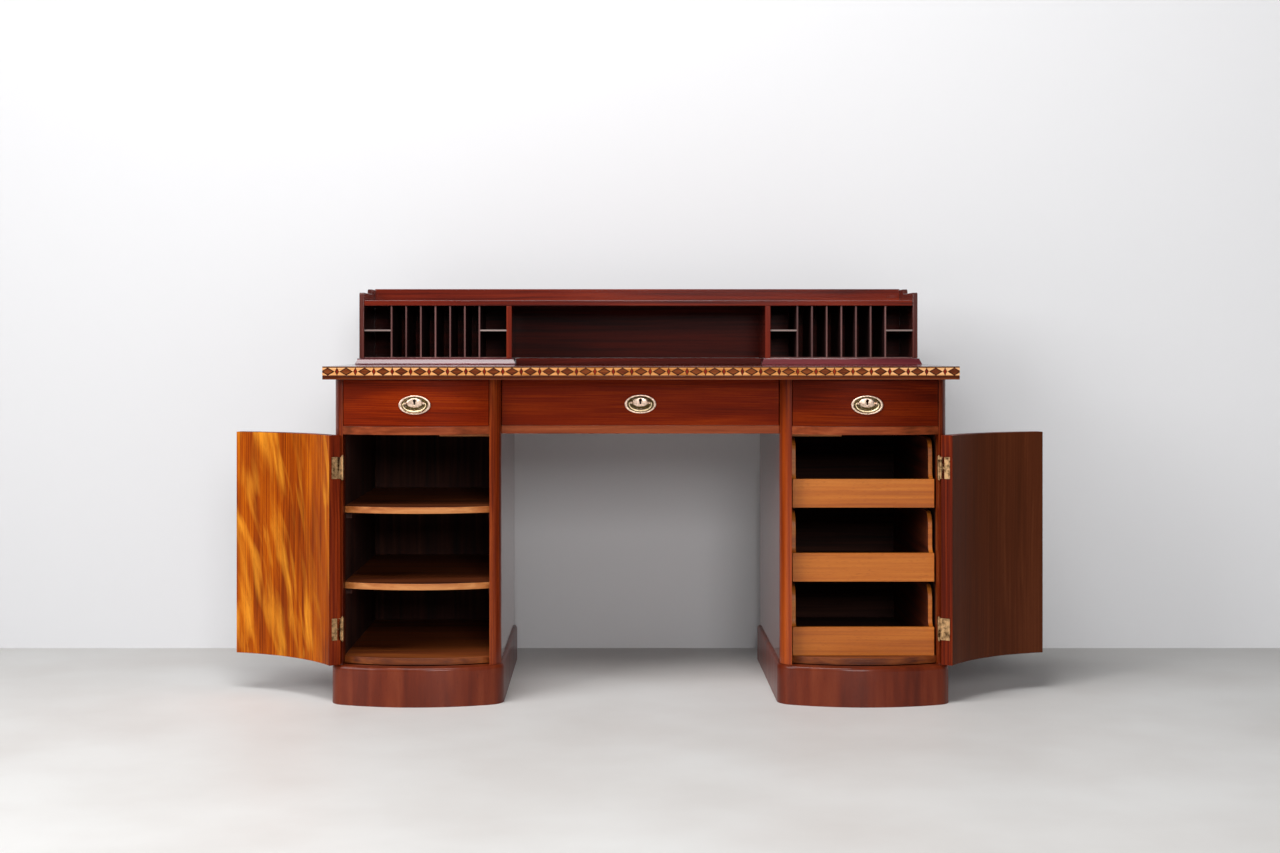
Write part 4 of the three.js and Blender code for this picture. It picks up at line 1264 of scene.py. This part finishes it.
@dataclass
class Pedestal:
    """One pedestal: its bowed front of posts, rail, drawer and door, and the panels behind."""

    prefix: str
    side: int
    drawer_wood: Wood
    door_wood: Wood
    outer_post: Wood
    inner_post: Wood
    door_width_mm: float = 337.5
    bow_radius_mm: float = 447.97
    batten_mm: float = 19.0
    panel_mm: float = 18.0

    def make(self) -> None:
        """Dress the pedestal's boards, its drawer and its door, and make its hinges.

        The door's inner face is the one that looks forward when the door stands open.
        """
        p, inward = self.prefix, -self.side
        board(f"{p}_plinth", PLINTH_MAHOGANY, Grain.ALONG_Z, 0.6)
        for place, wood in (("outer", self.outer_post), ("inner", self.inner_post)):
            board(f"{p}_{place}_post", wood, Grain.ALONG_Z, 0.5)
            look = inward if place == "outer" else -inward
            # Faces inside the cupboard, on the sides here and the back below, take the near-black wood: painted
            # shade.
            board(f"{p}_{place}_side", SIDE_MAHOGANY, Grain.ALONG_Z, 0.8,
                  [(SHADED_CUPBOARD_INSIDE, Grain.ALONG_Z, self._inside(f"{p}_{place}_side", look))])
        board(f"{p}_back", BACK_BOARD, Grain.ALONG_Z, 0.5,
              [(SHADED_CUPBOARD_INSIDE, Grain.ALONG_Z, facing((0, -1, 0)))])
        board(f"{p}_bottom_board", BOTTOM_BOARD, Grain.ALONG_X, 0.8)
        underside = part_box(f"{p}_rail")[1][2] - self.batten_mm * MM
        board(f"{p}_rail", RAIL_MAHOGANY, Grain.ALONG_X, 0.8,
              [(SHELF_LIPPING, Grain.ALONG_X, lambda m, n: m[:, 2] < underside - 0.5 * MM)])
        Drawer(p, self.drawer_wood).make()
        turn = self.side * DOOR_OPEN
        inner_look = np.array([-math.sin(turn), math.cos(turn), 0.0])
        board(f"{p}_door", DOOR_EDGE, Grain.ALONG_Z, 1.2, [
            (self.door_wood, Grain.ALONG_Z, facing(inner_look)),
            (DRAWER_VENEER, Grain.ALONG_Z, facing(-inner_look)),
        ])
        Hinge(p, self.side, math.asin(self.door_width_mm / 2 / self.bow_radius_mm)).make()

    def _inside(self, node: str, look: int) -> Chooser:
        """Pick the faces of a side panel that the cupboard holds, with its bearers or runners.

        Args:
            node: The side panel.
            look: Sign of X towards the cupboard.

        Returns:
            A function of middles and normals.
        """
        low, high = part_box(node)
        face = (low[0] if look > 0 else high[0]) + look * self.panel_mm * MM
        return lambda m, n: look * (m[:, 0] - face) > -0.1 * MM


@dataclass
class Kneehole:
    """The middle of the desk: its rail, drawer and back."""

    def make(self) -> None:
        """Dress the kneehole's boards."""
        board("centre_rail", RAIL_MAHOGANY, Grain.ALONG_X, 0.8)
        board("centre_frieze_back", BACK_BOARD, Grain.ALONG_X, 0.8)
        Drawer("centre", DRAWER_VENEER).make()


@dataclass
class Gallery:
    """The low gallery on the desktop: bases, ends, shelf, back and pigeonholes."""

    partition_mm: float = 13.0
    cell_mm: float = 66.0
    half_shelf_mm: Pair = (68.0, 72.0)
    fillet_share: float = 0.06
    set_back_mm: float = 5.9
    step_mm: float = 0.3
    hollow_mm: float = 0.2

    def make(self) -> None:
        """Dress the gallery's boards and run its base mouldings."""
        for prefix in ("left", "right"):
            self._base(f"gallery_{prefix}_base")
            # The ends' greyish mauve wood is partly a painted reflection.
            board(f"gallery_{prefix}_end", GALLERY_END, Grain.ALONG_Z, 1.0)
            self._pigeonholes(f"{prefix}_pigeonholes")
        # The front of the centre floor and the back below the shelf take the darker bay wood: painted shade.
        board("gallery_centre_floor", GALLERY_MAHOGANY, Grain.ALONG_X, 1.0,
              [(GALLERY_BAY, Grain.ALONG_X, facing((0, -1, 0)))])
        board("gallery_top_shelf", GALLERY_MAHOGANY, Grain.ALONG_X, 1.5)
        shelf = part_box("gallery_top_shelf")[0][2]
        board("gallery_back", GALLERY_MAHOGANY, Grain.ALONG_X, 0.3,
              [(GALLERY_BAY, Grain.ALONG_X, lambda m, n: (m[:, 2] < shelf) & (n[:, 1] < -SQUARE))], [(2, shelf)])

    def _pigeonholes(self, node: str) -> None:
        """Dress one side's pigeonholes: a red partition towards the middle, and thin dividers, near black as painted
        shade, with edges pale as a painted sheen.

        Args:
            node: The pigeonholes.
        """
        low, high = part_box(node)
        inward = 1 if low[0] < 0 else -1
        outer, inner = (low[0], high[0]) if inward > 0 else (high[0], low[0])
        face = inner - inward * self.partition_mm * MM
        cell = self.cell_mm * MM
        walls = np.array([face - inward * cell, outer + inward * cell])
        cells = walls + np.array([0.5, -0.5]) * inward * cell
        shelf = low[2] + np.array(self.half_shelf_mm) * MM

        def edge(m: Points, n: Points) -> Mask:
            """Pick the front edges on the outer side of the partition."""
            return (n[:, 1] < -SQUARE) & (inward * (m[:, 0] - face) < 0)

        def shelf_edge(m: Points, n: Points) -> Mask:
            """Pick the front edges of the half shelves, by the middles of the cells that they cross."""
            level = np.abs(m[:, 2] - shelf.mean()) < 1 * MM
            return edge(m, n) & level & (np.abs(m[:, :1] - cells).min(1) < 10 * MM)

        board(node, SHADED_PIGEONHOLE_INSIDE, Grain.ALONG_Z, 1.0, [
            (PIGEONHOLE_EDGE, Grain.ALONG_Z, edge),
            (HALF_SHELF_EDGE, Grain.ALONG_X, shelf_edge),
            (GALLERY_MAHOGANY, Grain.ALONG_Z, lambda m, n: inward * (m[:, 0] - face) > 0.5 * MM),
        ], [(0, face), (0, walls[0]), (0, walls[1]), (2, shelf[0]), (2, shelf[1])])

    def _base(self, node: str) -> None:
        """Run a base moulding round three sides of a bay: a fillet, a leaning face with a slight belly, a fillet.

        Each height of the profile is a rectangle that is as much smaller as the profile is set back there. The
        leaning face's set-back grows evenly, plus half a sine wave.

        Args:
            node: The base.
        """
        low, high = corners(node)
        t = np.linspace(0, 1, 9)
        leaning = self.step_mm + (self.set_back_mm - self.step_mm) * t + self.hollow_mm * np.sin(math.pi * t)
        set_back = np.concatenate([[0.0, 0.0], leaning, [self.set_back_mm]]) * MM
        rise = np.concatenate([[0.0, self.fillet_share], 0.08 + 0.82 * t, [1.0]]) * (high[2] - low[2])
        inset = np.array([(1, 1), (-1, 1), (-1, 0), (1, 0)])
        plan = low[:2] + np.array([(0, 0), (1, 0), (1, 1), (0, 1)]) * (high - low)[:2]
        ring = plan[None] + set_back[:, None, None] * inset[None]
        levels = np.broadcast_to((low[2] + rise)[:, None, None], (len(rise), 4, 1))
        base = surface(f"{node}_moulding", np.concatenate([ring, levels], -1), sharp=30)
        # Its greyish mauve wood is partly a painted reflection.
        stand_for(base, node, GALLERY_BASE.material(node, Grain.ALONG_X))


@dataclass(frozen=True)
class Lamp:
    """Soft white lamp: a rectangle that faces a point."""

    name: str
    at: Triple
    to: Triple
    size: Pair
    watts: float

    def hang(self) -> None:
        """Hang the lamp. Its back looks away from the point, and its width lies level."""
        data = bpy.data.lights.new(self.name, "AREA")
        data.shape = "RECTANGLE"
        data.size, data.size_y = self.size
        data.energy = self.watts
        back = unit(np.array(self.at) - np.array(self.to))
        right = unit(np.cross((0.0, 0.0, 1.0), back))
        matrix = np.eye(4)
        matrix[:3] = np.stack([right, np.cross(back, right), back, self.at], 1)
        link(self.name, data).matrix_world = Matrix(matrix.tolist())


@dataclass
class Room:
    """Pale studio: a floor, a wall that only shows from its front, soft lamps and the photograph's camera."""

    camera_at: Triple = (-0.0637, -4.585, 0.8267)
    focal_px: float = 1869.0
    image_px: Pair = (1280.0, 853.0)
    centre_px: Pair = (613.0, 345.0)
    wall_y: float = 0.514
    span: float = 14.0
    floor_cloud_mm: float = 450.0
    floor_tones: tuple[str, str] = ("#E2DFDC", "#ECEBE9")
    # Tones of the wall, grey by the window and paler away from it: painted light.
    wall_light_tones: tuple[str, str] = ("#D6D6D8", "#F2F2F4")
    wall_light_fade: float = 1.8
    world_tone: str = "#F6F7FA"
    world_light: float = 0.06
    world_shown: float = 0.9
    lamps: tuple[Lamp, ...] = (
        Lamp("window_light", (-4.2, -3.4, 2.9), (0.0, 0.0, 0.5), (3.2, 3.2), 166.0),
        Lamp("ceiling_light", (-0.7, -2.3, 3.6), (-0.1, 0.0, 0.4), (2.3, 1.3), 100.0),
        Lamp("door_light", (0.6, -6.6, 2.3), (0.3, 0.0, 0.4), (1.7, 1.7), 116.0))

    def make(self) -> None:
        """Build the floor, wall, lamps, world and camera."""
        self._floor()
        self._wall()
        for lamp in self.lamps:
            lamp.hang()
        self._world()
        self._camera()

    def _plane(self, name: str, points: Points, material: Material) -> None:
        """Add a four-cornered surface that isn't part of the desk.

        Args:
            name: Its name.
            points: Its corners, counter-clockwise from its front.
            material: Its material.
        """
        plane = build(name, points, [(0, 1, 2, 3)], smooth=False)
        plane.data.materials.append(material)

    def _floor(self) -> None:
        """Lay the floor: pale sealed concrete with faint clouds."""
        material, tree = new_tree("pale_sealed_concrete")
        coords = add_node(tree, "TexCoord").outputs["Object"]
        cloud = add_node(tree, "TexNoise", {
            "Vector": coords, "Scale": 1 / (self.floor_cloud_mm * MM), "Detail": 6.0}).outputs["Fac"]
        shade = add_node(tree, "MapRange", {"Value": cloud, "From Min": 0.35, "From Max": 0.65}).outputs[0]
        grey, pale = map(linear, self.floor_tones)
        colour = add_node(tree, "Mix", {"Factor": shade, "A": grey, "B": pale}, data_type="RGBA").outputs["Result"]
        shader = add_node(tree, "BsdfPrincipled", {"Base Color": colour, "Roughness": 0.5}).outputs[0]
        add_node(tree, "OutputMaterial", {"Surface": shader})
        s = self.span / 2
        self._plane("floor", np.array([(-s, -s, 0), (s, -s, 0), (s, s, 0), (-s, s, 0)]), material)

    def _wall(self) -> None:
        """Stand the wall: painted plaster for what looks at its front, and nothing from behind or for light.

        The colour grows a little paler away from the window: painted light, where the wall keeps more of its light.
        """
        material, tree = new_tree("painted_plaster")
        coords = add_node(tree, "TexCoord").outputs["Object"]
        across = add_node(tree, "SeparateXYZ", {0: coords}).outputs["X"]
        share = add_node(tree, "MapRange", {
            "Value": across, "From Min": -self.wall_light_fade, "From Max": self.wall_light_fade}).outputs[0]
        grey, pale = map(linear, self.wall_light_tones)
        tone = add_node(tree, "Mix", {"Factor": share, "A": grey, "B": pale}, data_type="RGBA").outputs["Result"]
        paint = add_node(tree, "BsdfPrincipled", {"Base Color": tone, "Roughness": 0.8}).outputs[0]
        clear = add_node(tree, "BsdfTransparent").outputs[0]
        path = add_node(tree, "LightPath")
        seen = add_node(tree, "Math", {0: path.outputs["Is Camera Ray"], 1: path.outputs["Is Glossy Ray"]},
                        operation="MAXIMUM").outputs[0]
        behind = add_node(tree, "NewGeometry").outputs["Backfacing"]
        front = add_node(tree, "Math", {0: 1.0, 1: behind}, operation="SUBTRACT").outputs[0]
        shown = add_node(tree, "Math", {0: seen, 1: front}, operation="MULTIPLY").outputs[0]
        mixed = add_node(tree, "MixShader", {0: shown, 1: clear, 2: paint}).outputs[0]
        add_node(tree, "OutputMaterial", {"Surface": mixed})
        s, y = self.span / 2, self.wall_y
        self._plane("wall", np.array([(-s, y, 0), (s, y, 0), (s, y, s), (-s, y, s)]), material)

    def _world(self) -> None:
        """Fill the room with a little even light, and show it pale to the camera."""
        world = bpy.data.worlds.new("studio")
        world.use_nodes = True
        tree = world.node_tree
        tree.nodes.clear()
        path = add_node(tree, "LightPath")
        strength = add_node(tree, "MapRange", {
            "Value": path.outputs["Is Camera Ray"], "To Min": self.world_light,
            "To Max": self.world_shown}).outputs[0]
        shine = add_node(tree, "Background", {"Color": linear(self.world_tone), "Strength": strength}).outputs[0]
        add_node(tree, "OutputWorld", {"Surface": shine})
        bpy.context.scene.world = world

    def _camera(self) -> None:
        """Set up the level camera, with the lens shifted so that the horizon lies where the photograph has it."""
        width, height = self.image_px
        data = bpy.data.cameras.new("camera")
        data.sensor_width = 36.0
        data.lens = self.focal_px / width * data.sensor_width
        data.shift_x = (width / 2 - self.centre_px[0]) / width
        data.shift_y = (self.centre_px[1] - height / 2) / width
        data.clip_end = 60.0
        camera = link("camera", data)
        camera.location = self.camera_at
        camera.rotation_euler = (math.pi / 2, 0.0, 0.0)
        bpy.context.scene.camera = camera


def main() -> None:
    """Build the room and dress the desk, part by part."""
    bpy.context.scene.view_settings.view_transform = "Standard"
    Room().make()
    Desktop().make()
    # The dark outer posts and the right drawer's darker veneer are painted shade; the golden inner post on the right
    # is painted light.
    Pedestal("left", -1, DRAWER_VENEER, GOLDEN_CROTCH, SHADED_POST, POST_MAHOGANY).make()
    for node in ("lower_shelf", "upper_shelf"):
        Shelf(node).make()
    Pedestal("right", 1, SHADED_DRAWER_VENEER, PLAIN_DOOR, SHADED_POST, LIT_GOLDEN_POST).make()
    for node in ("bottom_tray", "middle_tray", "top_tray"):
        Tray(node).make()
    Kneehole().make()
    Gallery().make()


if __name__ == "__main__":
    main()
